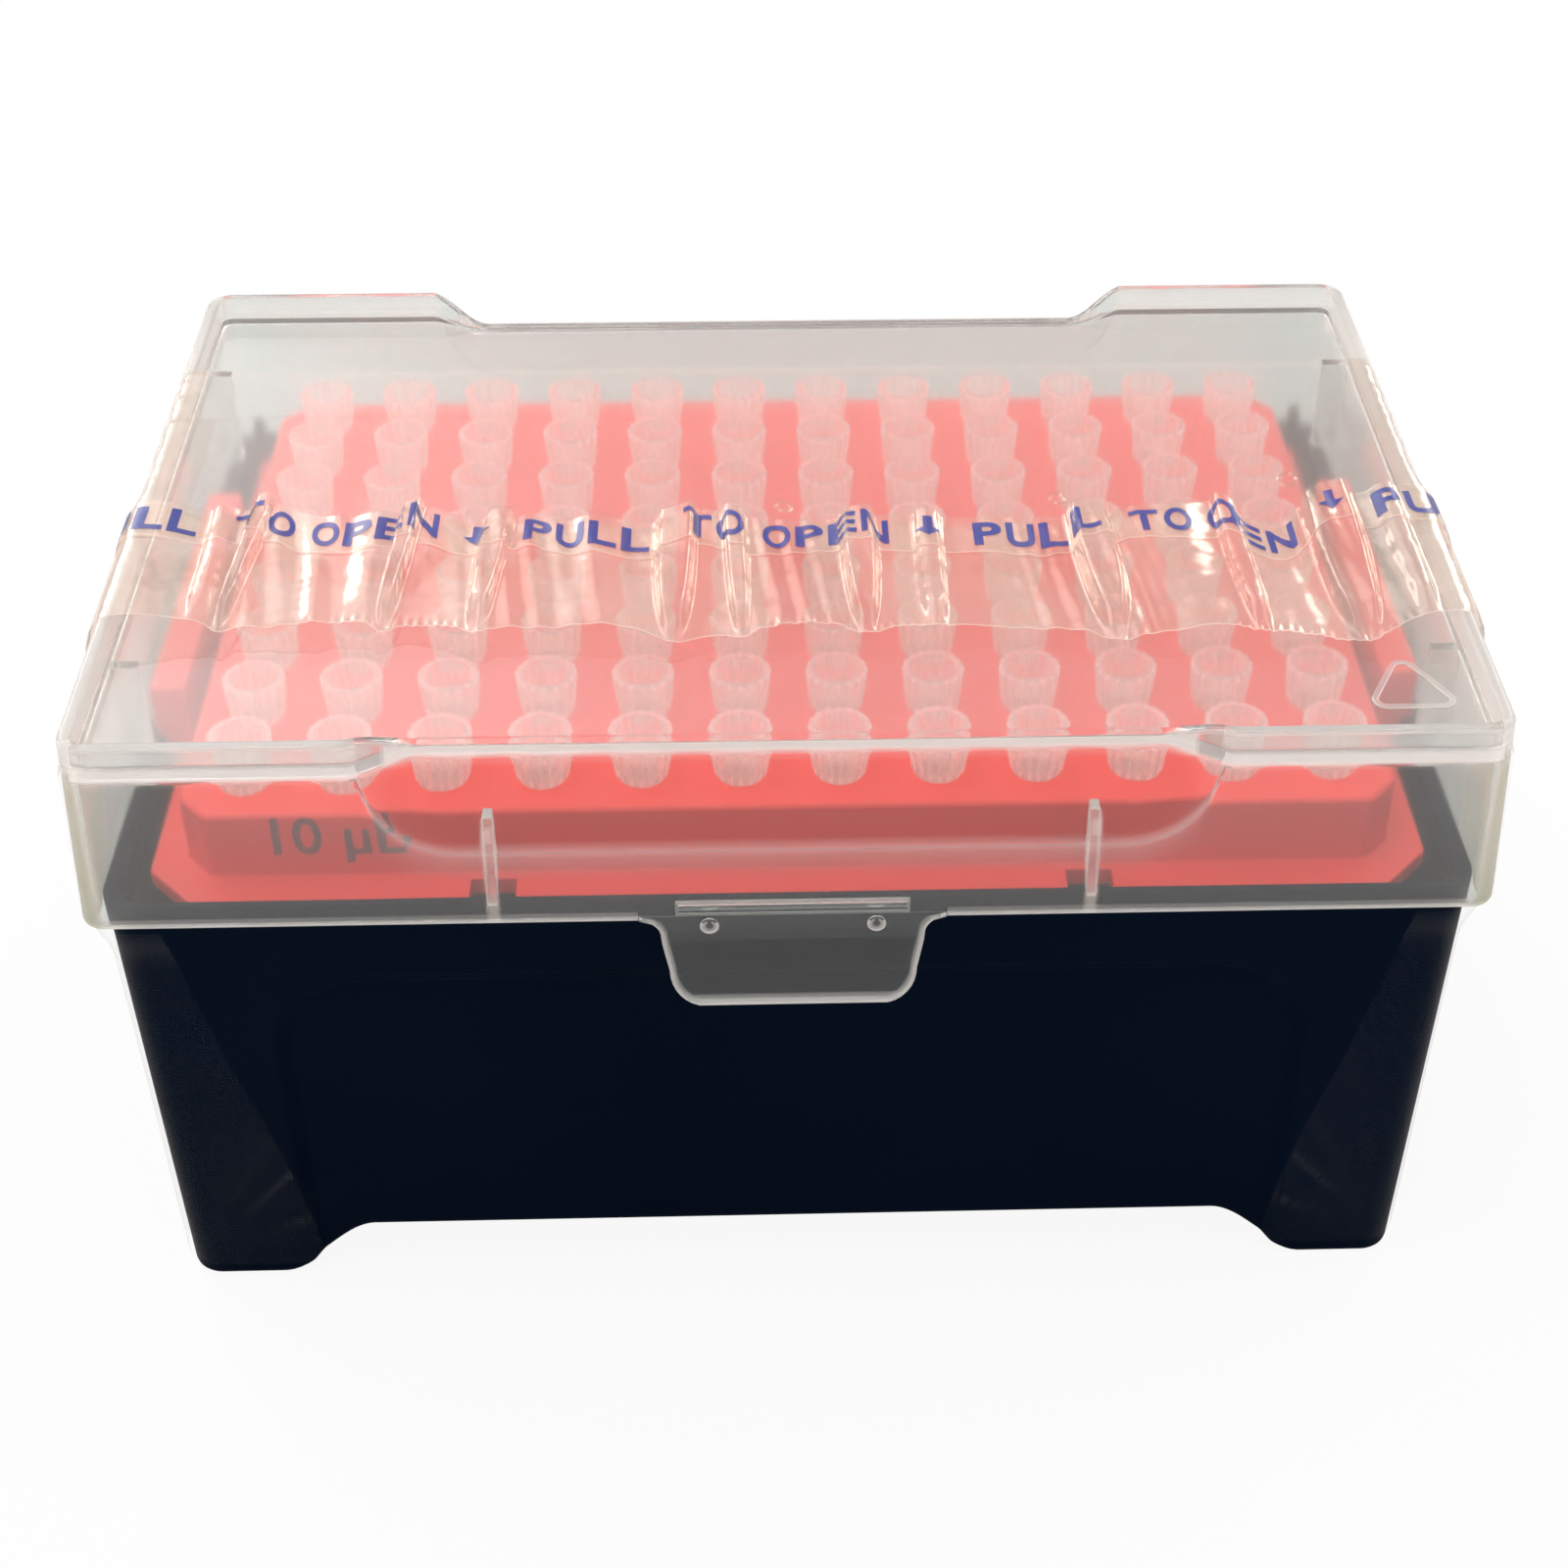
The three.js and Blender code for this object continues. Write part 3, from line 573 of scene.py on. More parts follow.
def ear(side):
    """An upright finger ear, whose lip stands over the tub's collar."""
    outline = [(EAR_INNER, FLANGE_LOW + 0.2), (EAR_NECK, FLANGE_LOW + 0.2), (EAR_NECK, EAR_LIP),
               (EAR_OUTER, EAR_LIP), (EAR_OUTER, EAR_TOP), (EAR_INNER, EAR_TOP)]
    return profile_along("ear", [(side * x, z) for x, z in outline], -EAR_HALF, EAR_HALF, "Y", 0.35)


# ---- Tips ---------------------------------------------------------------------------------


def tip_mesh():
    """One tip about its own axis: a ribbed crown above the deck and a long fine cone below it."""
    deck = DECK_TOP + 0.05
    rib_turns = 2 * math.pi * np.arange(CROWN_RIBS) / CROWN_RIBS
    pitch = 2 * math.pi / CROWN_RIBS
    turns = np.sort(np.concatenate([rib_turns + share * pitch for share in (-0.26, -0.14, 0.14, 0.26)]))
    raised = np.isin(np.round((turns / pitch) % 1, 2), (0.86, 0.14)).astype(float)

    def ring(z, radius, rib=0.0):
        r = radius + rib * raised
        return np.column_stack([r * np.cos(turns), r * np.sin(turns), np.full(len(turns), z)])

    height = CROWN_TOP - deck
    crown = lambda share: 2.2 + 0.45 * share
    rings = [ring(TIP_END, 0.24), ring(TIP_END, 0.4), ring(TIP_END + 0.1, 0.45)]
    rings += [ring(z, 0.45 + 1.5 * ((z - TIP_END) / (deck - TIP_END)) ** 1.1) for z in (36, 43, 50)]
    rings += [ring(deck - 0.5, 2.12), ring(deck, 2.14), ring(deck + 0.02, 2.26)]
    rings += [ring(deck + 0.15, crown(0), 0.1), ring(deck + 0.35, crown(0.02), 0.24)]
    rings += [ring(deck + share * height, crown(share), 0.26) for share in (0.3, 0.6, 0.9)]
    rings += [ring(CROWN_TOP - 0.12, crown(1) + 0.08, 0.18), ring(CROWN_TOP - 0.03, crown(1) + 0.14, 0.08)]
    rings += [ring(CROWN_TOP, crown(1) + 0.06, 0.04), ring(CROWN_TOP, 2.16), ring(CROWN_TOP - 0.1, 2.06)]
    rings += [ring(deck + 0.5 * height, 1.93), ring(deck, 1.78), ring(48, 1.32), ring(36, 0.62)]
    rings += [ring(TIP_END + 0.4, 0.26)]
    shape = smooth(loft("tip_form", rings, capped=False), 40)
    points = np.concatenate(rings)
    z, outside = points[:, 2], np.hypot(points[:, 0], points[:, 1]) > 2.2
    # The pale attribute: painted highlight on the crown's ribs, their feet and its rim, and the bore near
    # the deck painted pale where it would look dark.
    in_socket = 0.9 * (~outside & (z > 47) & (z < deck + 0.1))
    ribs = np.tile(raised, len(rings)) * (z > deck + 0.1)
    foot = smoothstep((deck + 1.1 - z) / 0.8)
    on_crown = ribs * (0.3 + 0.7 * foot) + 0.35 * smoothstep((z - CROWN_TOP + 0.2) / 0.15)
    paint(shape, "pale", in_socket + outside * on_crown)
    mesh = shape.data
    bpy.data.objects.remove(shape)
    return mesh


# ---- Lid ----------------------------------------------------------------------------------


def scoop_edge(x):
    """The height at which the scoop starts in a long wall, at x."""
    turn = np.clip((np.abs(x) - (SCOOP_HALF - SCOOP_CORNER)) / SCOOP_CORNER, 0, 1)
    return SCOOP_LOW + SCOOP_CORNER * (1 - np.sqrt(1 - turn**2))


def scoop_press(x, z):
    """How far a long wall is pressed in at x and height z."""
    rise = np.clip((z - SCOOP_LOW) / (PLATE_TOP - SCOOP_LOW), 0, 1)
    drop = np.clip((SCOOP_LOW + SCOOP_CORNER - z) / SCOOP_CORNER, 0, 1)
    turn = SCOOP_HALF - SCOOP_CORNER + SCOOP_CORNER * np.sqrt(1 - drop**2)
    edge = turn + (SCOOP_TOP_HALF - SCOOP_HALF) * rise
    share = np.clip((edge - np.abs(x)) / SCOOP_SWEEP, 0, 1)
    return SCOOP_DEPTH * rise * (0.5 * smoothstep(share) + 0.5 * np.sin(share * math.pi / 2))


def lid_shell():
    xs = stations((0, 21, 3), (22, SCOOP_TOP_HALF - 0.2, 0.5), (SCOOP_TOP_HALF + 0.1, 41, 1), (46, 56, 5))
    ys = stations((0, 35, 5))
    wall = Wall(LID_FOOT, LID_CREST, LID_LOW, LID_TOP, LID_CORNER, xs, ys)
    x = wall.foot[:, 0]
    long_side = np.abs(wall.out[:, 1]) > 0.99
    start = np.where(long_side & (np.abs(x) < SCOOP_HALF), scoop_edge(x), SCOOP_LOW + SCOOP_CORNER)
    climb = smoothstep((np.abs(x) - (SCOOP_TOP_HALF - SCOOP_SWEEP)) / SCOOP_SWEEP)
    rim = np.where(long_side, PLATE_TOP + SCOOP_LIP + (LID_TOP - PLATE_TOP - SCOOP_LIP) * climb, LID_TOP)

    def press(z):
        z = np.broadcast_to(np.asarray(z, float), len(x))
        return np.where(long_side, scoop_press(x, z), 0.0)

    ceiling = PLATE_TOP - PLATE_THICKNESS
    fillet = 0.5
    rings = []
    for inset, down in quarter_round(3):
        z = ceiling - fillet * down
        rings.append(wall.ring(z, LID_WALL + press(z) + fillet * inset))
    high = ceiling - fillet
    inner_start = np.minimum(start, high - 0.8)
    for share in np.linspace(1, 0, 17)[1:]:
        z = inner_start + (high - inner_start) * share
        rings.append(wall.ring(z, LID_WALL + press(z)))
    for share in (0.93, 0.6, 0.3, 0):
        z = LID_LOW + 0.3 + (inner_start - LID_LOW - 0.3) * share
        rings.append(wall.ring(z, LID_WALL))
    rings += [wall.ring(LID_LOW + 0.08, LID_WALL - 0.1), wall.ring(LID_LOW, LID_WALL - 0.35)]
    rings += [wall.ring(LID_LOW, 0.35), wall.ring(LID_LOW + 0.1, 0.1), wall.ring(LID_LOW + 0.35)]
    for share in (0.3, 0.6, 0.93, 1):
        z = LID_LOW + 0.35 + (start - LID_LOW - 0.35) * share
        rings.append(wall.ring(z))
    for share in np.linspace(0, 1, 19)[1:]:
        z = start + (PLATE_TOP - start) * share
        rings.append(wall.ring(z, press(z)))
    tall = rim - PLATE_TOP
    edge = np.minimum(0.4, tall * 0.45)
    for share in (0.4, 0.8):
        z = PLATE_TOP + (tall - edge) * share
        rings.append(wall.ring(z, press(z)))
    for inset, up in quarter_round(3):
        rings.append(wall.ring(rim - edge * inset, press(PLATE_TOP) + 0.4 * up))
    for inset, up in quarter_round(3)[::-1]:
        rings.append(wall.ring(rim - edge * inset, press(PLATE_TOP) + LID_WALL - 0.35 * up))
    foot = np.minimum(0.4, tall * 0.45)
    rings.append(wall.ring(PLATE_TOP + foot, press(PLATE_TOP) + LID_WALL))
    rings.append(wall.ring(PLATE_TOP + 0.3 * foot, press(PLATE_TOP) + LID_WALL + 0.12))
    rings.append(wall.ring(PLATE_TOP, press(PLATE_TOP) + LID_WALL + 0.4))
    return loft("lid_shell", rings)


def lid_half(z):
    """Half sizes of the lid's outside at height z."""
    up = (z - LID_LOW) / (LID_TOP - LID_LOW)
    return [foot + (crest - foot) * up for foot, crest in zip(LID_FOOT, LID_CREST)]


def front_rib(x):
    """A rib inside the front wall that drops into the rack's notch."""
    outline = [(-42.7, FRONT_RIB_LOW), (-41.2, FRONT_RIB_LOW), (-39.2, 52), (-39.2, FRONT_RIB_HIGH),
               (-41.2, FRONT_RIB_HIGH), (-42.3, SCOOP_LOW)]
    return profile_along("rib", outline, x - FRONT_RIB_HALF, x + FRONT_RIB_HALF, "X", 0.15)


def end_gusset(side, y):
    """A stiffening gusset inside an end wall."""
    low, high = GUSSET_LOW, PLATE_TOP - PLATE_THICKNESS / 2
    outline = [(59, low), (lid_half(low)[0] - 0.6, low), (lid_half(high)[0] - 0.6, high), (59, high)]
    outline = [(side * x, z) for x, z in outline]
    return profile_along("gusset", outline, y - GUSSET_HALF, y + GUSSET_HALF, "Y", 0.15)


def tab_rows():
    """The tab's outline: pairs of height and half width, from its root to its rounded foot."""
    half_top, half_foot, corner, fillet = 11.9, 11.2, 3.0, 2.0
    rows = [(49.1, half_top + fillet)]
    for t in np.linspace(1, 0, 7):
        rows.append((LID_LOW - fillet * (1 - t), half_top + fillet * (1 - math.sqrt(1 - t * t))))
    rows += [(TAB_BEND, half_top - 0.01), (TAB_BEND - 0.6, half_top - 0.1), (TAB_FOOT + corner, half_foot)]
    for turn in np.linspace(0, math.pi / 2, 9)[1:]:
        rows.append((TAB_FOOT + corner * (1 - math.sin(turn)), half_foot - corner * (1 - math.cos(turn))))
    return rows


def latch_tab():
    """The pull tab: it runs down from the front wall and bends outwards."""
    thick = 1.1

    def front(z):
        hang = lid_half(max(z, TAB_BEND))[1]
        if z > LID_LOW:
            return hang - 0.03
        return hang + (HINGE_Y + KNUCKLE_RADIUS - hang) * max(0, (TAB_BEND - z) / 6)

    rings = []
    rows = tab_rows()
    for index, (z, half) in enumerate(rows):
        thin = 0.2 if index == len(rows) - 1 else 0.0
        flat, _ = rounded_rectangle((half, thick / 2 - thin), 0.3 - thin, (0.7 - half, half - 0.7), (0,), 3)
        rings.append(np.column_stack([flat[:, 0], flat[:, 1] - front(z) + thick / 2, np.full(len(flat), z)]))
    return loft("tab", rings)


def tab_mark(x):
    """A small round ejector mark on the tab."""
    turn = circle(24)
    front = -lid_half(TAB_MARK_Z)[1]
    steps = ((0.5, 0.85), (-0.16, 0.85), (-0.26, 0.72), (-0.1, 0.55), (-0.06, 0.2))
    rings = [np.column_stack([x + r * np.cos(turn), np.full(24, front + y), TAB_MARK_Z + r * np.sin(turn)])
             for y, r in steps]
    return loft("mark", rings)


def hinge_lug(x):
    """A lug that hangs from the rear wall and carries one hinge pin."""
    rear = LID_FOOT[1]
    return [
        block("lug", (x - LUG_HALF, rear - 1, HINGE_Z), (x + LUG_HALF, rear + 0.5, LID_LOW + 0.9), 0.15),
        rod("barrel", x - LUG_HALF, x + LUG_HALF, HINGE_Y, HINGE_Z, LUG_RADIUS),
        rod("pin", x - PIN_END, x + PIN_END, HINGE_Y, HINGE_Z, PIN_RADIUS),
    ]


def corner_mark():
    """A plain moulded triangle with rounded corners, raised on the plate at its front right."""
    width, height, bar, radius = 9.3, 8.8, 0.55, 1.3
    corners = [(-width / 2, -height / 3), (width / 2, -height / 3), (0, height * 2 / 3)]
    rings = []
    for grow, z in ((0, -0.2), (0, 0.16), (-0.08, 0.2), (0.08 - bar, 0.2), (-bar, 0.16), (-bar, -0.2)):
        ring = []
        for x, y in corners:
            middle = math.atan2(y, x)
            for turn in middle + np.linspace(-1, 1, 7) * math.radians(58):
                reach = 1 - 2 * radius / math.hypot(x, y)
                ring.append((x * reach + (radius + grow) * math.cos(turn) + MARK[0],
                             y * reach + (radius + grow) * math.sin(turn) + MARK[1], PLATE_TOP + z))
        rings.append(np.array(ring))
    return loft("corner_mark", rings, capped=False)


def slot_beads(back):
    """Fine beads round the latch slot, on the inside of the front wall."""
    wide, proud = 0.24, 0.2
    low, high, half = SLOT_LOW - wide, SLOT_HIGH + wide, SLOT_HALF + wide
    spans = [(-half, half, low, SLOT_LOW), (-half, half, SLOT_HIGH, high)]
    spans += [(-half, -SLOT_HALF, low, high), (SLOT_HALF, half, low, high)]
    return [block("bead", (x0, back - 0.1, z0), (x1, back + proud, z1), 0.05) for x0, x1, z0, z1 in spans]


def pale_parts(obj, back):
    """Paints where the lid's plastic is made whitest: its edges, ribs, beads and the fold round the scoop.
    This is partly plastic that is milkier where it is thick, and partly painted highlight: bright rims,
    edges and fold lines, picked by place and by which way each face turns.
    """
    mesh = obj.data
    count = len(mesh.vertices)
    place, way = np.empty(count * 3), np.empty(count * 3)
    mesh.vertices.foreach_get("co", place)
    mesh.vertices.foreach_get("normal", way)
    x, y, z = place.reshape(-1, 3).T / MM
    across = np.abs(x)
    facing_out = way.reshape(-1, 3)[:, 1] * y > 0.2 * np.abs(y)
    level = way.reshape(-1, 3)[:, 2]
    side_out = way.reshape(-1, 3)[:, 0] * x > 0
    outer = np.where(np.abs(y) > 38.5, facing_out, side_out)
    # Painted highlight on the rims' slanted tops, picked by which way each face turns.
    pale = 0.8 * np.exp(-(((level - 0.55) / 0.25) ** 2)) * (z > PLATE_TOP + 0.1) * outer
    in_scoop = (across < SCOOP_HALF - 2) & (np.abs(y) > 38.5)
    pale = np.where(in_scoop, 0.7 * smoothstep((z - PLATE_TOP + 1) / 0.3) * facing_out * (level < 0.8), pale)
    # Painted highlight along the scoop's fold; below it the tab's outline, its marks, the slot beads, ribs,
    # gussets and corner mark are painted pale too.
    fold = 1 - smoothstep(np.abs(z - scoop_edge(x)) / 1.0)
    pale = np.maximum(pale, 0.3 * fold * facing_out * (across < SCOOP_HALF + 0.1) * (z > LID_LOW + 2))
    rows = np.array(tab_rows())[::-1]
    rim = smoothstep((across - np.interp(z, rows[:, 0], rows[:, 1]) + 0.55) / 0.25)
    tab = (z < LID_LOW - 0.02) & (y < 0)
    pale = np.maximum(pale, 0.8 * tab * np.maximum(rim, z < TAB_FOOT + 0.3))
    ring = np.hypot(across - TAB_MARK_X, z - TAB_MARK_Z)
    proud = -y > 0.05 + LID_FOOT[1] + (LID_CREST[1] - LID_FOOT[1]) * (z - LID_LOW) / (LID_TOP - LID_LOW)
    pale = np.maximum(pale, (y < 0) * (z < LID_LOW) * (ring < 0.9) * proud * smoothstep((ring - 0.3) / 0.4))
    by_slot = (across < SLOT_HALF + 1) & (np.abs(z - (SLOT_LOW + SLOT_HIGH) / 2) < 1.2)
    pale = np.maximum(pale, (y > back + 0.1) & (y < back + 0.3) & by_slot)
    rib = (np.abs(across - FRONT_RIB_X) < FRONT_RIB_HALF + 0.05) & (z < FRONT_RIB_HIGH + 0.1)
    pale = np.maximum(pale, rib * (y > -42.6) * (y < -39) * (0.35 + 0.5 * (z < FRONT_RIB_LOW + 0.4)))
    gusset = (np.abs(y - GUSSET_FRONT) < GUSSET_HALF + 0.05) & (across < 60.6) & (z < 63.5)
    pale = np.maximum(pale, 0.4 * gusset)
    raised = np.abs(z - PLATE_TOP - 0.18) < 0.06
    pale = np.maximum(pale, 0.35 * raised * (np.hypot(x - MARK[0], y - MARK[1]) < 7.5))
    paint(obj, "pale", pale)
    # Painted shade: the end walls' front corners below the plate get the deep attribute, a darker olive milk
    # where they are seen edge on.
    below = smoothstep((PLATE_TOP - PLATE_THICKNESS - z) / 0.5)
    paint(obj, "deep", smoothstep((-y - 31) / 7) * smoothstep((across - 61) / 1.0) * below)


def lid():
    body = lid_shell()
    back = LID_WALL - lid_half(SLOT_LOW)[1]
    slot = block("slot", (-SLOT_HALF, back - 0.65, SLOT_LOW), (SLOT_HALF, back + 1, SLOT_HIGH), 0.12)
    boolean(body, slot, "DIFFERENCE")
    parts = [front_rib(-FRONT_RIB_X), front_rib(FRONT_RIB_X), latch_tab()]
    parts += [tab_mark(-TAB_MARK_X), tab_mark(TAB_MARK_X)]
    parts += [end_gusset(side, y) for side in (-1, 1) for y in (GUSSET_FRONT, GUSSET_REAR)]
    parts += hinge_lug(-HINGE_X) + hinge_lug(HINGE_X) + [corner_mark()] + slot_beads(back)
    boolean(body, joined("parts", parts), "UNION")
    body.name = "lid_shell"
    smooth(body)
    pale_parts(body, back)
    return body


# ---- Seal film ----------------------------------------------------------------------------


def band_run(along):
    """Where the stretched band lies at a distance along it from its middle, and which way it faces."""
    low, high = lid_half(BAND_FOOT)[0], lid_half(LID_TOP)[0]
    level = high - BAND_BEND
    arc = BAND_BEND * math.pi / 2
    side, far = np.sign(along), np.abs(along)
    turn = np.clip((far - level) / arc, 0, 1) * math.pi / 2
    down = np.maximum(far - level - arc, 0)
    x = np.minimum(far, level) + BAND_BEND * np.sin(turn) + down * (low - high) / (LID_TOP - BAND_FOOT)
    z = LID_TOP - BAND_BEND * (1 - np.cos(turn)) - down
    return np.stack([side * x, z], -1), np.stack([side * np.sin(turn), np.cos(turn)], -1)


BAND_REACH = lid_half(LID_TOP)[0] - BAND_BEND + BAND_BEND * math.pi / 2 + LID_TOP - BAND_BEND - BAND_FOOT


def band_stations():
    """Places along the band: close together over the lid's top, wider apart down its ends."""
    top = spaced(-64, 64, 0.2)
    return np.concatenate([spaced(-BAND_REACH, -64, 0.7)[:-1], top, spaced(64, BAND_REACH, 0.7)[1:]])


def band_edges(along):
    """The band's front and back edges: it widens below the lid's rim to wrap each end."""
    spread = smoothstep((np.abs(along) - 62.6) / 3.2)
    wave = 0.5 * np.sin(along / 8.3) + 0.35 * np.sin(along / 3.1 + 1.0) - 0.028 * along
    for _, front, half, height, sharp in PLEATS:
        wave = wave - 0.9 * height * sharp * np.exp(-(((along - front) / (1.2 * half)) ** 2))
    front = BAND_FRONT + wave * (1 - spread)
    return front + (END_FRONT - front) * spread, BAND_BACK + (END_BACK - BAND_BACK) * spread


def strip_back(along):
    """The tear strip's rear edge: it bows forward in the middle of the lid and wanders where it gathers."""
    edge = STRIP_BACK + 2.6 * np.clip(np.abs(along) / 62, 0, 1) ** 2
    for place, half, shift in STRIP_WAVES:
        edge = edge + shift * np.exp(-(((along - place) / half) ** 2))
    return edge


def band_lift(along, y):
    """How far the film stands off the lid: it sags inside the rim, and gathers into pleats at its front."""
    far = np.abs(along)
    gathered = smoothstep((3.5 - y) / 7)
    inside = smoothstep((60.5 - far) / 8)
    wander = 0.25 * np.sin(along / 4.7 + 0.13 * y) + 0.2 * np.sin(along / 2.3 - 0.2 * y)
    folds = 0.1 * np.sin(along * 2 * math.pi / 2.7 + 0.3 * y + 1.5 * np.sin(along / 5))
    folds = folds * smoothstep(np.sin(along / 4.1 + 1) + 0.6)
    lift = BAND_GAP - inside * (0.35 + gathered * (1.15 + wander + folds))
    below = smoothstep((far - 61.5) / 4)
    bulge = np.where(along > 0, 1.5, 1.1) * smoothstep((2 - y) / 6) * smoothstep((y + 27) / 4)
    lift = lift - below * 0.2 + below * bulge * (1 - smoothstep((far - 68) / 6))
    front, _ = band_edges(along)
    start = strip_back(along)
    run = np.clip((start - y) / (start - front), 0, 1)
    rise = smoothstep((start + 3.2 - y) / 3.2)
    for back, tip, half, height, sharp in PLEATS:
        narrow = half * np.sqrt(np.clip(1.02 - sharp * run**3, 0.02, 1))
        off = np.abs(along - back - (tip - back) * run) / narrow
        plateau = smoothstep((1.25 - off) / 0.55)
        bell = np.exp(-(off**2))
        fade = 1 - (0.5 + 0.45 * sharp) * smoothstep((run - 0.78) / 0.2)
        lift = lift + height * rise * fade * (sharp * plateau + (1 - sharp) * bell)
    crimp = smoothstep((1.6 + front - y) / 1.2) * np.sin(along * 2 * math.pi / 0.95)
    lift = lift + 0.07 * crimp * smoothstep(np.sin(along / 6.7 + 0.6) * 2)
    gather = smoothstep((far - 61.3) / 0.8) * smoothstep((67 - far) / 2.5) * smoothstep((y - 1) / 3)
    return lift + 0.08 * gather * np.sin(y * 2 * math.pi / 1.1)


def on_band(along, y, gap=0.0):
    """Points on the film, in millimetres."""
    place, way = band_run(along)
    stand = (band_lift(along, y) + gap)[..., None]
    flat = place + way * stand
    return np.stack([flat[..., 0], y, flat[..., 1]], -1)


def film_sheet(name, along, rows, gap, edge_width=0.35):
    """A single sheet of film from rows of y values, paler within edge_width of its cut edges and in patches
    where it gathers, as painted highlight.
    """
    count_y, count_x = rows.shape
    points = on_band(np.broadcast_to(along, rows.shape), rows, gap)
    faces = []
    for j in range(count_y - 1):
        for i in range(count_x - 1):
            first = j * count_x + i
            faces.append((first, first + count_x, first + count_x + 1, first + 1))
    obj = to_object(name, to_mesh(name, points.reshape(-1, 3), faces))
    front, back = rows - rows.min(0), rows.max(0) - rows
    on_top = 1 - smoothstep((np.abs(along) - 62) / 3)
    # Painted highlight: cream patches where the film gathers, and a pale line along its cut edges.
    patch = 0.5 + 0.5 * np.sin(along / 2.9 + 0.12 * rows) * np.sin(along / 7.3 + 0.8)
    gathered = 0.46 * patch * smoothstep((strip_back(along) - rows) / 3)
    cut = 1 - smoothstep(front / edge_width) + 0.35 * (1 - smoothstep(back / edge_width))
    paint(obj, "edge", on_top * (gathered + cut))
    return rounded_shading(obj)


def paint(obj, name, values):
    layer = obj.data.attributes.new(name, "FLOAT", "POINT")
    layer.data.foreach_set("value", np.asarray(values, np.float32).ravel())


def seal_band():
    along = band_stations()
    front, back = band_edges(along)
    start = np.minimum(strip_back(along) + 3, back)
    rear = back + (start - back) * np.linspace(0, 1, 14)[:, None]
    fore = start + (front + 0.3 - start) * np.linspace(0, 1, 44)[1:, None]
    rows = np.concatenate([rear, fore, (front + 0.15)[None], front[None]])
    return film_sheet("seal_band", along, rows, 0.0)


def tear_strip():
    along = band_stations()
    back = strip_back(along)
    share = np.concatenate([[0, 0.03], np.linspace(0.06, 0.94, 14), [0.97, 1]])
    return film_sheet("tear_strip", along, back - STRIP_WIDTH * share[:, None], 0.16, 0.25)


def vent_rims():
    """The melted rims of the small vent holes behind the tear strip."""
    turn = circle(24)
    rims = []
    for along, y, radius in VENTS:
        rings = [on_band(along + (radius + r) * np.cos(turn), y + (radius + r) * np.sin(turn), gap)
                 for r, gap in ((0, 0.02), (0.2, 0.2), (0.4, 0.02), (0.2, -0.1))]
        rims.append(loft("rim", rings, capped=False))
    return smooth(joined("vent_rims", rims), 80)


def tub_half(z):
    """Half sizes of the tub's outside at height z."""
    return [foot + (top - foot) * z / BASE_HEIGHT for foot, top in zip(BASE_FOOT, BASE_TOP)]


def end_film(side):
    """The seal's lower part: film shrunk round one end of the tub, with taut creases off its foot."""
    rows = np.concatenate([spaced(2.2, 38, 0.7), spaced(38, LID_LOW - 0.3, 0.5)[1:]])
    front = np.concatenate([np.linspace(0, 0.97, 46), [1.0]])
    rings, crease_highlights = [], []
    for z in rows:
        half_x, half_y = tub_half(z)
        start = 47 + 9.5 * smoothstep(z / 52)
        edge = half_x - BASE_CORNER
        x = start + (edge - start) * front
        flat = [(v, -half_y, 0, -1) for v in x]
        for t in np.linspace(0, math.pi / 2, 9)[1:]:
            flat.append((edge + BASE_CORNER * math.sin(t), BASE_CORNER - half_y - BASE_CORNER * math.cos(t),
                         math.sin(t), -math.cos(t)))
        flat += [(half_x, v, 1, 0) for v in np.linspace(BASE_CORNER - half_y, END_FILM_BACK, 60)[1:]]
        ring = np.array(flat)
        across = 60 - ring[:, 0] + 0.6 * np.maximum(ring[:, 1] + half_y, 0)
        aim = np.arctan2(z - 3, across)
        far = np.hypot(z - 3, across)
        crease = np.sin(31 * aim) + 0.6 * np.sin(53 * aim + 1.3) + 0.5 * np.sin(17 * aim + 0.4)
        taut = smoothstep((far - 4) / 10) * smoothstep((46 - far) / 20)
        flare = 1.35 * smoothstep((z - 41.5) / (LID_LOW - 41.5)) ** 1.5
        stand = END_GAP[side] + 0.08 * crease * taut + flare
        # Painted highlight: the crests of the creases are painted paler.
        crease_highlights.append(0.09 * taut * smoothstep((crease - 1.1) / 0.7))
        x, y = ring[:, 0] + ring[:, 2] * stand, ring[:, 1] + ring[:, 3] * stand
        rings.append(np.column_stack([side * x, y, np.full(len(ring), z)]))
    count = len(rings[0])
    faces = []
    for low in range(0, (len(rings) - 1) * count, count):
        for i in range(low, low + count - 1):
            faces.append((i, i + 1, i + count + 1, i + count)[::side])
    name = "tub_film_right" if side > 0 else "tub_film_left"
    obj = to_object(name, to_mesh("tub_film", np.concatenate(rings), faces))
    paint(obj, "edge", np.concatenate(crease_highlights))
    return rounded_shading(obj)


def cells_of(flat, cell):
    """Points and faces of a flat mesh in millimetres, cut into small cells so that it can follow a curve."""
    mesh = bmesh.new()
    mesh.from_mesh(flat)
    near = min(1e-4, 0.02 * max(v.co.length for v in mesh.verts))
    bmesh.ops.remove_doubles(mesh, verts=mesh.verts, dist=near)
    for axis in (Vector((1, 0, 0)), Vector((0, 1, 0))):
        reach = [v.co.dot(axis) for v in mesh.verts]
        for level in spaced(min(reach), max(reach), cell)[1:-1]:
            everything = mesh.verts[:] + mesh.edges[:] + mesh.faces[:]
            bmesh.ops.bisect_plane(mesh, geom=everything, plane_co=axis * level, plane_no=axis)
    points = np.array([v.co[:] for v in mesh.verts])
    mesh.verts.index_update()
    faces = [[v.index for v in f.verts] for f in mesh.faces]
    mesh.free()
    return points, faces


def glyph(text, height, bold, cell=0.4):
    """Flat plain lettering as a mesh of small cells, its capitals height tall, from x = 0."""
    curve = bpy.data.curves.new(text, "FONT")
    curve.body = text
    curve.size = height / CAPITAL_SHARE
    curve.offset = bold
    curve.resolution_u = 4
    shown = to_object("glyph", curve)
    flat = evaluated(shown)
    bpy.data.objects.remove(shown)
    return cells_of(flat, cell)


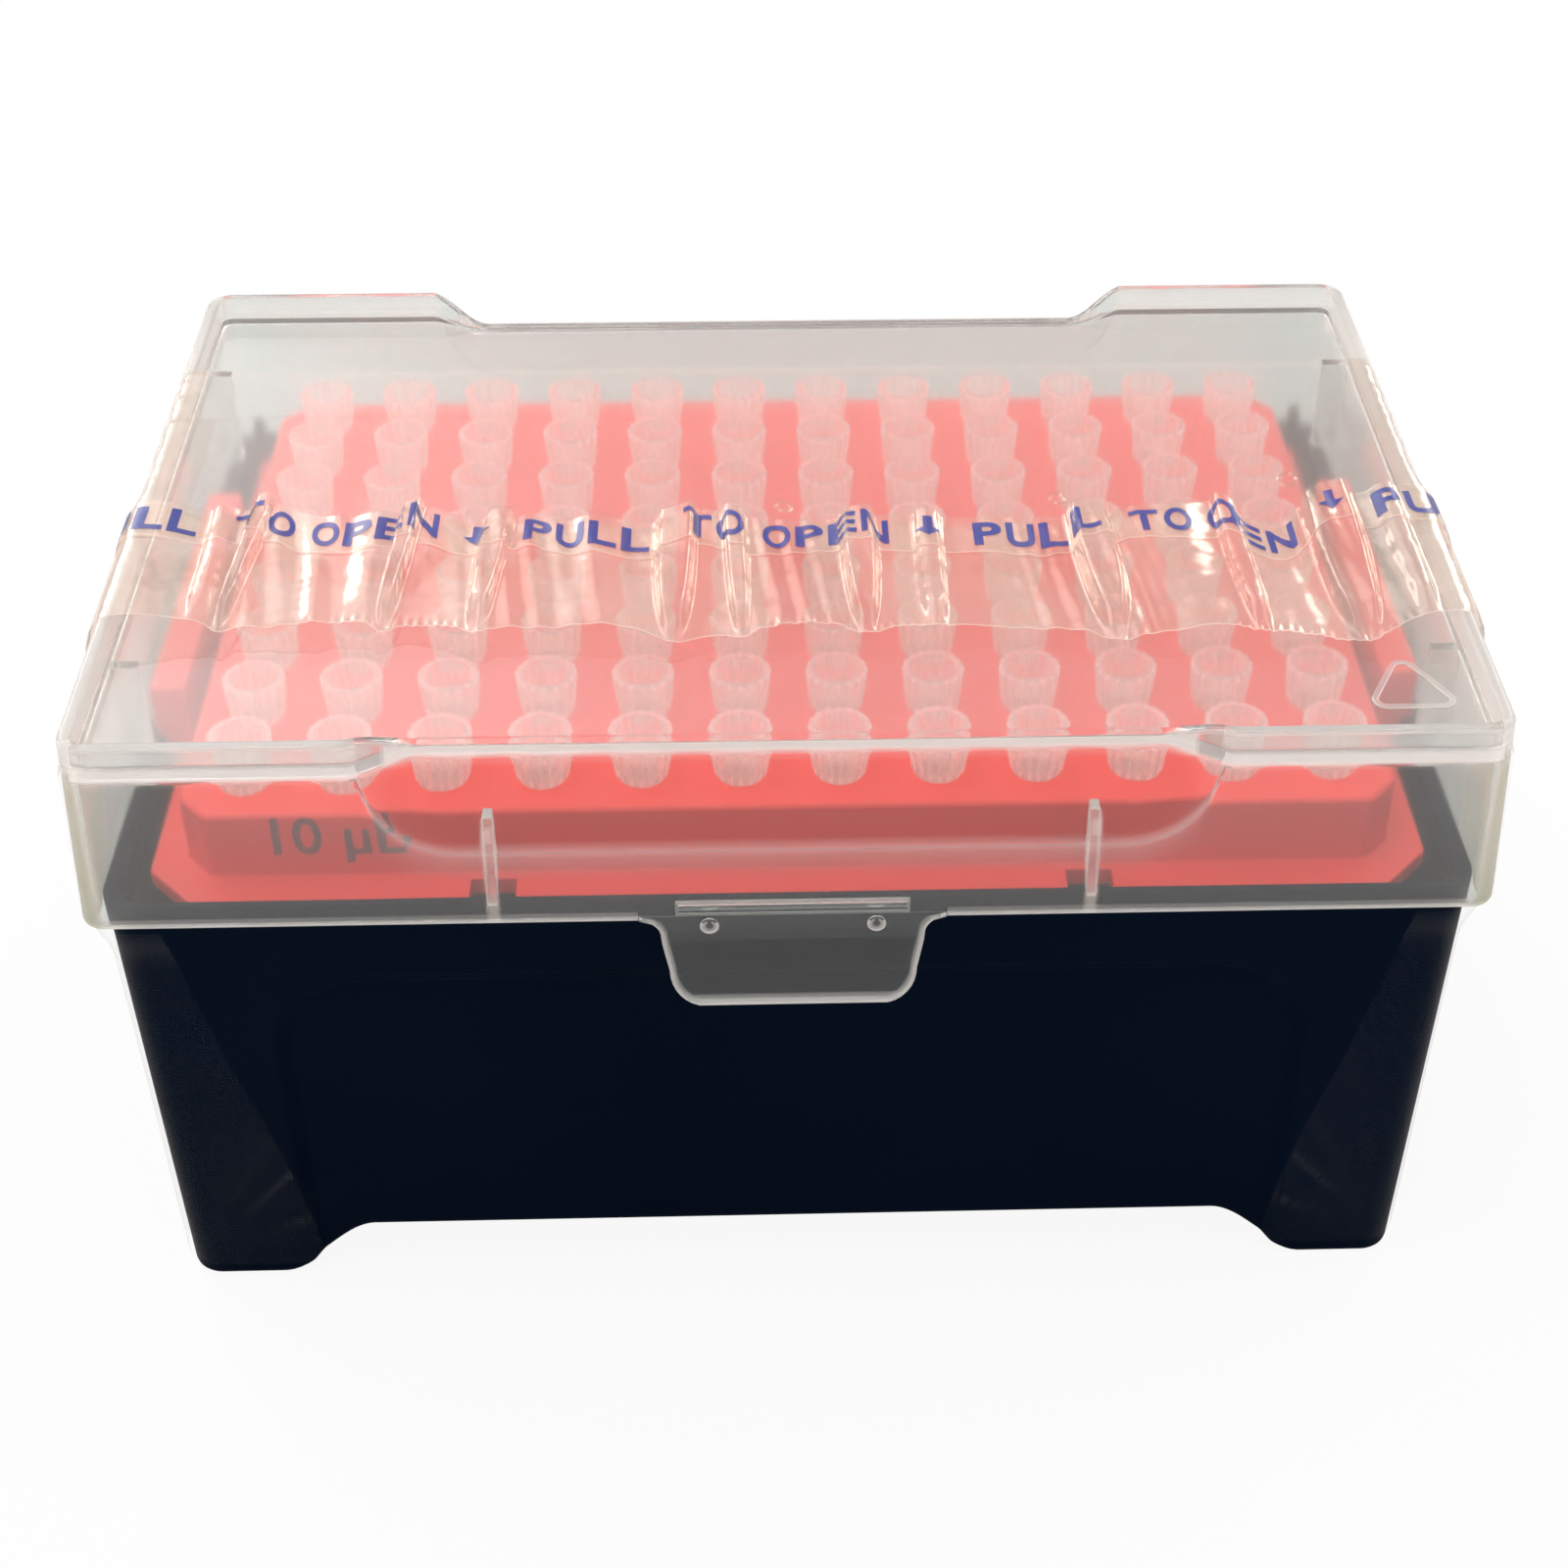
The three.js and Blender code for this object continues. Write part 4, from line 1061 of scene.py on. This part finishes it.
def strip_print():
    """The pull instruction, printed over and over along the tear strip, with one letter lost in a tuck."""
    signs = {letter: glyph(letter, LETTER_HEIGHT, 0.17) for letter in "PULTOEN"}
    h = LETTER_HEIGHT
    shaft, head = 0.15 * h, 0.42 * h
    arrow = [(-shaft, 0.95 * h), (-shaft, 0.45 * h), (-head, 0.45 * h), (0, 0.05 * h), (head, 0.45 * h),
             (shaft, 0.45 * h), (shaft, 0.95 * h)]
    flat = bpy.data.meshes.new("arrow")
    flat.from_pydata([(x + head, y, 0) for x, y in arrow], [], [(0, 1, 5, 6), (2, 3, 4, 5, 1)])
    signs["|"] = cells_of(flat, 0.4)
    points, faces, count = [], [], 0
    for repeat in range(-1, 3):
        start = PRINT_START + repeat * PRINT_PERIOD
        for offset, word in PRINT_WORDS:
            for index, letter in enumerate(word):
                shape, cells = signs[letter]
                wide = shape[:, 0] - shape[:, 0].min()
                place = start + offset + index * LETTER_PITCH
                if abs(place - TUCK) < TUCK_WIDTH / 3:
                    continue
                place -= TUCK_WIDTH * (place > TUCK)
                along = place + wide * 2.7 / max(wide.max(), 2.4)
                if np.abs(along).max() > BAND_REACH - 3:
                    continue
                y = strip_back(along) - STRIP_WIDTH / 2 + (shape[:, 1] - h / 2)
                points.append(on_band(along, y, 0.16 + INK_GAP))
                faces += [tuple(count + i for i in cell) for cell in cells]
                count += len(shape)
    obj = to_object("strip_print", to_mesh("strip_print", np.concatenate(points), faces))
    return rounded_shading(obj)


def volume_mark():
    """The volume of the tips, printed on the left of the rack's front wall."""
    points, faces = glyph("10 \u00b5L", VOLUME_CAPITALS, 0.1, 2.0)
    x = points[:, 0] * VOLUME_WIDTH / points[:, 0].max() + VOLUME_LEFT
    face = -DECK_HALF[1] - 0.04
    points = np.column_stack([x, np.full(len(x), face), points[:, 1] + VOLUME_FOOT])
    obj = to_object("volume_mark", to_mesh("volume_mark", points, faces))
    outwards(obj)
    return obj


# ---- Camera, light and floor --------------------------------------------------------------


def camera():
    """Looks down on the front of the box from a little left of its middle."""
    lift, turn, roll = math.radians(37.351), math.radians(-1.939), math.radians(-0.302)
    forward = Vector((-math.sin(turn) * math.cos(lift), math.cos(turn) * math.cos(lift), -math.sin(lift)))
    right = Vector((math.cos(turn), math.sin(turn), 0))
    down = forward.cross(right)
    across = right * math.cos(roll) + down * math.sin(roll)
    below = down * math.cos(roll) - right * math.sin(roll)
    data = bpy.data.cameras.new("camera")
    data.sensor_width = 36.0
    data.lens = 59.185
    data.shift_x = -0.03125
    data.clip_start = 0.01
    data.clip_end = 20.0
    made = to_object("camera", data)
    axes = Matrix((across, -below, -forward)).transposed().to_4x4()
    axes.translation = Vector((-2.455, -219.641, 198.086)) * MM
    made.matrix_world = axes
    bpy.context.scene.camera = made


def lamp(name, place, aim, size, power, colour="#FFFFFF"):
    """A soft rectangular studio lamp."""
    data = bpy.data.lights.new(name, "AREA")
    data.shape = "RECTANGLE"
    data.size, data.size_y = size
    data.energy = power
    data.color = linear(colour)[:3]
    made = to_object(name, data)
    way = Vector(aim) - Vector(place)
    made.matrix_world = Matrix.Translation(place) @ way.to_track_quat("-Z", "Y").to_matrix().to_4x4()


def node(tree, kind, links=(), **settings):
    """Adds a shader node: settings set its own values, and links fill its sockets.

    A link is a number, a colour, a socket, or a node, which stands for its first output.
    """
    made = tree.nodes.new("ShaderNode" + kind)
    for key, value in settings.items():
        setattr(made, key, value)
    for key, value in dict(links).items():
        socket = made.inputs[key]
        if isinstance(value, bpy.types.Node):
            value = value.outputs[0]
        if isinstance(value, bpy.types.NodeSocket):
            tree.links.new(value, socket)
        else:
            socket.default_value = value
    return made


def material(name):
    made = bpy.data.materials.new(name)
    made.use_nodes = True
    made.node_tree.nodes.clear()
    return made, made.node_tree


# ---- Finishes -----------------------------------------------------------------------------


def grain(tree, place, size, depth, detail=2.0):
    """The bump of a surface whose lumps are size millimetres across and depth deep."""
    lumps = node(tree, "TexNoise", {"Vector": place, "Scale": 1 / (size * MM), "Detail": detail})
    return node(tree, "Bump", {"Height": lumps, "Distance": depth * MM, "Strength": 1.0})


def drift(tree, place, size, dark, light):
    """A colour that drifts between two shades, over patches of size millimetres."""
    patches = node(tree, "TexNoise", {"Vector": place, "Scale": 1 / (size * MM), "Detail": 3.0})
    ramp = node(tree, "ValToRGB", {"Fac": patches})
    for step, shade in zip(ramp.color_ramp.elements, (dark, light)):
        step.color = linear(shade)
    return ramp


def dark_polypropylene():
    """Polypropylene, moulded against a finely spark-eroded tool: near-black navy with a soft dull sheen."""
    made, tree = material("dark_polypropylene")
    place = node(tree, "TexCoord").outputs["Object"]
    wear = node(tree, "TexNoise", {"Vector": place, "Scale": 1 / (9 * MM), "Detail": 4.0})
    rough = node(tree, "MapRange", {0: wear, 1: 0.35, 2: 0.7, 3: 0.38, 4: 0.52})
    shader = node(tree, "BsdfPrincipled",
                  {"Base Color": drift(tree, place, 45, "#000814", "#020F24"), "Roughness": rough,
                   "Specular IOR Level": 0.02, "Normal": grain(tree, place, 0.6, 0.012)})
    node(tree, "OutputMaterial", {"Surface": shader})
    return made


def red_polypropylene():
    """Polypropylene coloured coral red, moulded with a fine matt grain."""
    made, tree = material("red_polypropylene")
    place = node(tree, "TexCoord").outputs["Object"]
    shader = node(tree, "BsdfPrincipled",
                  {"Base Color": drift(tree, place, 30, "#EE413B", "#F24942"), "Roughness": 0.45,
                   "Specular IOR Level": 0.3, "Normal": grain(tree, place, 0.4, 0.006)})
    node(tree, "OutputMaterial", {"Surface": shader})
    return made


def scatter(tree, colour):
    """Milky scatter: half of the light is thrown back and half goes on through."""
    near = node(tree, "BsdfDiffuse", {"Color": colour})
    through = node(tree, "BsdfTranslucent", {"Color": colour})
    return node(tree, "MixShader", {0: 0.5, 1: near, 2: through})


def lamps_pass(tree, shader, tint):
    """Ends a clear finish: lamps shine straight through it, so what lies behind it stays lit."""
    path = node(tree, "LightPath")
    lamps = node(tree, "BsdfTransparent", {"Color": linear(tint)})
    whole = node(tree, "MixShader", {0: path.outputs["Is Shadow Ray"], 1: shader, 2: lamps})
    node(tree, "OutputMaterial", {"Surface": whole})


def clear_plastic(name, body, cloud, pale, milk, corner_shade_milk, rough, ior, lamp_tint, ripple, ripple_depth):
    """A moulded natural plastic: a clear body clouded by a share of milky scatter.

    cloud is the share of scatter, or a function that gives it from the tree and the place on the
    piece, and pale is what the places painted by the pale attribute add to it: part milkier plastic,
    part painted highlight. The scatter has the colour milk, or a second, darker milk where the deep
    attribute is painted, which is painted shade where the plastic is seen edge on. Soft ripples are left by
    the tool.
    """
    made, tree = material(name)
    place = node(tree, "TexCoord").outputs["Object"]
    clear = node(tree, "BsdfPrincipled",
                 {"Base Color": linear(body), "Roughness": rough, "IOR": ior, "Transmission Weight": 1.0,
                  "Normal": grain(tree, place, ripple, ripple_depth, 0.0)})
    deep = node(tree, "Attribute", attribute_name="deep").outputs["Fac"]
    marked = node(tree, "Attribute", attribute_name="pale").outputs["Fac"]
    tone = node(tree, "Mix", {0: deep, 6: linear(milk), 7: linear(corner_shade_milk)}, data_type="RGBA").outputs[2]
    share = cloud(tree, place) if callable(cloud) else cloud
    clouded = node(tree, "Math", {0: deep, 1: CORNER_SHADE_CLOUD, 2: share}, operation="MULTIPLY_ADD")
    milky = node(tree, "Math", {0: marked, 1: pale, 2: clouded}, operation="MULTIPLY_ADD", use_clamp=True)
    lamps_pass(tree, node(tree, "MixShader", {0: milky, 1: clear, 2: scatter(tree, tone)}), lamp_tint)
    return made


def lid_cloud_and_highlight(tree, place):
    """The lid's milkiness by place: whitest round its edges, soft in its end walls and faint elsewhere. Part
    of it is thicker plastic, and part is painted highlight: the lower edge and rims are whitened, and the
    plate band is milkier than the walls, partly for its thicker plastic and partly as painted light from
    above.
    """
    x, y, height = node(tree, "SeparateXYZ", {0: place}).outputs
    across = node(tree, "Math", {0: x}, operation="ABSOLUTE")
    along = node(tree, "Math", {0: y}, operation="ABSOLUTE")
    bottom, tall = LID_LOW - 1, LID_TOP + 1 - LID_LOW
    up = node(tree, "MapRange", {0: height, 1: bottom * MM, 2: (bottom + tall) * MM})
    plate_low = PLATE_TOP - PLATE_THICKNESS
    end, front = lid_half(PLATE_TOP)
    plate_edge = ((0, 0), (plate_low + 0.3, 0.5), (PLATE_TOP + 0.45, 0))
    # Each zone: the limits that it lies beyond, and its milkiness from each height up.
    zones = (
        ((), ((0, 0.038), (plate_low - 0.2, 0.108), (PLATE_TOP + 0.2, 0.038))),
        (((across, TAB_HALF),), ((0, 0.45), (LID_LOW + 0.5, 0))),
        (((across, end - LID_WALL - 0.3),),
         ((0, 0), (LID_LOW + 0.5, 0.12), (plate_low, 0), (PLATE_TOP + 0.5, 0.42))),
        (((across, end - 0.4),), plate_edge),
        (((across, SCOOP_HALF), (along, front - 0.4)), plate_edge),
        (((across, SCOOP_HALF), (along, front - LID_WALL - 0.4)), ((0, 0), (PLATE_TOP + 0.5, 0.18))),
    )
    share = 0.0
    for limits, levels in zones:
        zone = node(tree, "ValToRGB", {"Fac": up})
        steps = zone.color_ramp.elements
        steps.remove(steps[1])
        steps[0].color = (levels[0][1],) * 3 + (1,)
        for (_, before), (level, after) in zip(levels, levels[1:]):
            for shift, value in ((-0.12, before), (0.12, after)):
                steps.new((level + shift - bottom) / tall).color = (value,) * 3 + (1,)
        for reach, limit in limits:
            beyond = node(tree, "Math", {0: reach, 1: limit * MM}, operation="GREATER_THAN")
            zone = node(tree, "Math", {0: zone, 1: beyond}, operation="MULTIPLY")
        share = node(tree, "Math", {0: share, 1: zone}, operation="ADD")
    return share


def seal_film(name, tint, haze, shine, peak, rough, crinkle):
    """Thin shrink film: clear and glossy at a slant, its gloss tinted warm as a painted warm tint of lamp
    light, and pale where its edge attribute is painted, which is painted highlight at cut edges, gathers and
    creases.

    shine and peak are its gloss seen straight on and edge on, and crinkle the depth of its creases.
    """
    made, tree = material(name)
    place = node(tree, "TexCoord").outputs["Object"]
    bump = grain(tree, place, 3.0, crinkle, 1.0)
    clear = node(tree, "BsdfTransparent", {"Color": linear(tint)})
    # The gloss's warm tint is painted lamp colour.
    gloss = node(tree, "BsdfGlossy", {"Color": linear("#FFF4EA"), "Roughness": rough, "Normal": bump})
    slant = node(tree, "LayerWeight", {"Normal": bump})
    steep = node(tree, "Math", {0: slant.outputs["Facing"], 1: 4.0}, operation="POWER")
    gleam = node(tree, "MapRange", {0: steep, 1: 0.0, 2: 1.0, 3: shine, 4: peak})
    skin = node(tree, "MixShader", {0: gleam, 1: clear, 2: gloss})
    edge = node(tree, "Attribute", attribute_name="edge").outputs["Fac"]
    share = node(tree, "MapRange", {0: edge, 1: 0.0, 2: 1.0, 3: haze, 4: 0.5})
    pale = scatter(tree, linear("#F7E9DC"))
    lamps_pass(tree, node(tree, "MixShader", {0: share, 1: skin, 2: pale}), "#F0EDEA")
    return made


def ink(name, code, seen):
    """Printing ink, a little see-through where it is thin."""
    made, tree = material(name)
    place = node(tree, "TexCoord").outputs["Object"]
    patch = node(tree, "TexNoise", {"Vector": place, "Scale": 1 / (1.2 * MM), "Detail": 2.0})
    cover = node(tree, "MapRange", {0: patch, 1: 0.3, 2: 0.7, 3: seen - 0.08, 4: seen + 0.06})
    dry = node(tree, "BsdfPrincipled", {"Base Color": linear(code), "Roughness": 0.35, "Alpha": cover})
    node(tree, "OutputMaterial", {"Surface": dry})
    return made


def world():
    """A soft studio: bright overhead, with two soft windows behind the box and a white backdrop."""
    made = bpy.data.worlds.new("studio")
    bpy.context.scene.world = made
    made.use_nodes = True
    tree = made.node_tree
    tree.nodes.clear()
    path = node(tree, "LightPath")
    way = node(tree, "TexCoord").outputs["Generated"]
    up = node(tree, "SeparateXYZ", {0: way}).outputs["Z"]
    level = node(tree, "MapRange", {0: up, 1: -0.1, 2: 1.0, 3: 0.38, 4: 0.88})
    for window, glow in WINDOWS:
        towards = node(tree, "VectorMath", {0: way, 1: window}, operation="DOT_PRODUCT").outputs["Value"]
        light = node(tree, "MapRange", {0: towards, 1: 0.86, 2: 1.0, 3: 0.0, 4: glow},
                     interpolation_type="SMOOTHSTEP")
        level = node(tree, "Math", {0: level, 1: light}, operation="ADD")
    white = linear("#FFFFFF")
    soft = node(tree, "Background", {"Color": white, "Strength": level})
    backdrop = node(tree, "Background", {"Color": white, "Strength": 1.0})
    both = node(tree, "MixShader", {0: path.outputs["Is Camera Ray"], 1: soft, 2: backdrop})
    node(tree, "OutputWorld", {"Surface": both})


def floor():
    """A wide white sweep under the box, which keeps its shadow."""
    far = FLOOR_HALF
    corners = [(-far, -far, 0), (far, -far, 0), (far, far, 0), (-far, far, 0)]
    made = to_object("floor", to_mesh("floor", corners, [(0, 1, 2, 3)]))
    paint_layer, tree = material("white_sweep")
    path = node(tree, "LightPath")
    plain = node(tree, "BsdfDiffuse", {"Color": linear("#D2D2D2")})
    glow = node(tree, "Emission", {"Color": linear("#FFFFFF"), "Strength": 1.0})
    seen = node(tree, "Math", {0: path.outputs["Is Camera Ray"], 1: 0.92}, operation="MULTIPLY")
    through = node(tree, "Math", {0: path.outputs["Is Transmission Ray"], 1: 0.05}, operation="MULTIPLY")
    share = node(tree, "Math", {0: seen, 1: through}, operation="ADD")
    node(tree, "OutputMaterial", {"Surface": node(tree, "MixShader", {0: share, 1: plain, 2: glow})})
    made.data.materials.append(paint_layer)


camera()
world()
floor()
lamp("key", (-0.3, -0.15, 0.9), (0, 0, 0.05), (0.7, 0.5), 3.9)
for side, name in ((-1, "back_left"), (1, "back_right")):
    lamp(name, (side * 0.55, 0.8, 0.42), (0, 0, 0.06), (0.12, 0.5), 1.45, "#FFFAF4")


def place_piece(piece, finish, body, slot, *nodes):
    """Gives a piece its finish, its body and the CAD nodes that it stands for."""
    if finish.name not in piece.data.materials:
        piece.data.materials.append(finish)
    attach(piece, body)
    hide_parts(*nodes)


place_piece(tub(), dark_polypropylene(), "box", "base_plastic", "base")
place_piece(rack_tray(), red_polypropylene(), "box", "rack_plastic", "rack")
place_piece(volume_mark(), ink("grey_print", "#5A4E52", 0.66), "box", "rack_plastic")

# The tips' pink milk is painted reflection of the red deck's light; their pale attribute is painted
# highlight on the crowns.
tip_finish = clear_plastic(
    "clear_tip_polypropylene", body="#FFFAF7", cloud=0.25, pale=0.45, milk="#FFD9D6",
    corner_shade_milk="#FFD9D6", rough=0.06, ior=1.2, lamp_tint="#F4ECEA", ripple=2.0, ripple_depth=0.01)
form = tip_mesh()
for index, (x, y) in enumerate(tip_places()):
    column, row = divmod(index, ROWS)
    tip = to_object(f"tip_{column + 1:02d}_{row + 1}", form)
    tip.location = (x * MM, y * MM, 0)
    place_piece(tip, tip_finish, "box", "tip_plastic", f"tips_column_{column + 1:02d}")

# The lid's deep milk, darker and olive, is painted shade at its front end corners.
lid_finish = clear_plastic(
    "natural_polypropylene", body="#DDE1DE", cloud=lid_cloud_and_highlight, pale=0.8, milk="#EDE8E4",
    corner_shade_milk="#C6C4B4", rough=0.1, ior=1.49, lamp_tint="#FFFFFF", ripple=9.0, ripple_depth=0.03)
place_piece(lid(), lid_finish, "lid", "lid_plastic", "lid")

film_finish = seal_film(
    "shrink_film", tint="#F7F2EE", haze=0.05, shine=0.055, peak=1.0, rough=0.17, crinkle=0.2)
band = seal_band()
place_piece(band, film_finish, "lid", "film", "seal_film")
tub_film_finish = seal_film(
    "thin_shrink_film", tint="#FFFFFF", haze=0.002, shine=0.002, peak=0.2, rough=0.3, crinkle=0.02)
band.data.materials.append(tub_film_finish)
for face in band.data.polygons:
    x, y, z = face.center / MM
    behind = y > strip_back(x) - 1 and abs(x) < 60
    face.material_index = int(behind or z < PLATE_TOP - 1.5)
strip = tear_strip()
place_piece(strip, film_finish, "lid", "film")
marks = strip_print()
place_piece(marks, ink("blue_print", "#1C2D80", 0.93), "lid", "film")
vents = vent_rims()
place_piece(vents, film_finish, "lid", "film")
for side in (-1, 1):
    wrap = end_film(side)
    place_piece(wrap, tub_film_finish, "box", "film")

scene = bpy.context.scene
scene.view_settings.view_transform = "Standard"
scene.cycles.light_sampling_threshold = 0.05
scene.cycles.adaptive_threshold = 0.05
scene.cycles.max_bounces = 9
scene.cycles.diffuse_bounces = 3
scene.cycles.transmission_bounces = 8
scene.cycles.transparent_max_bounces = 14
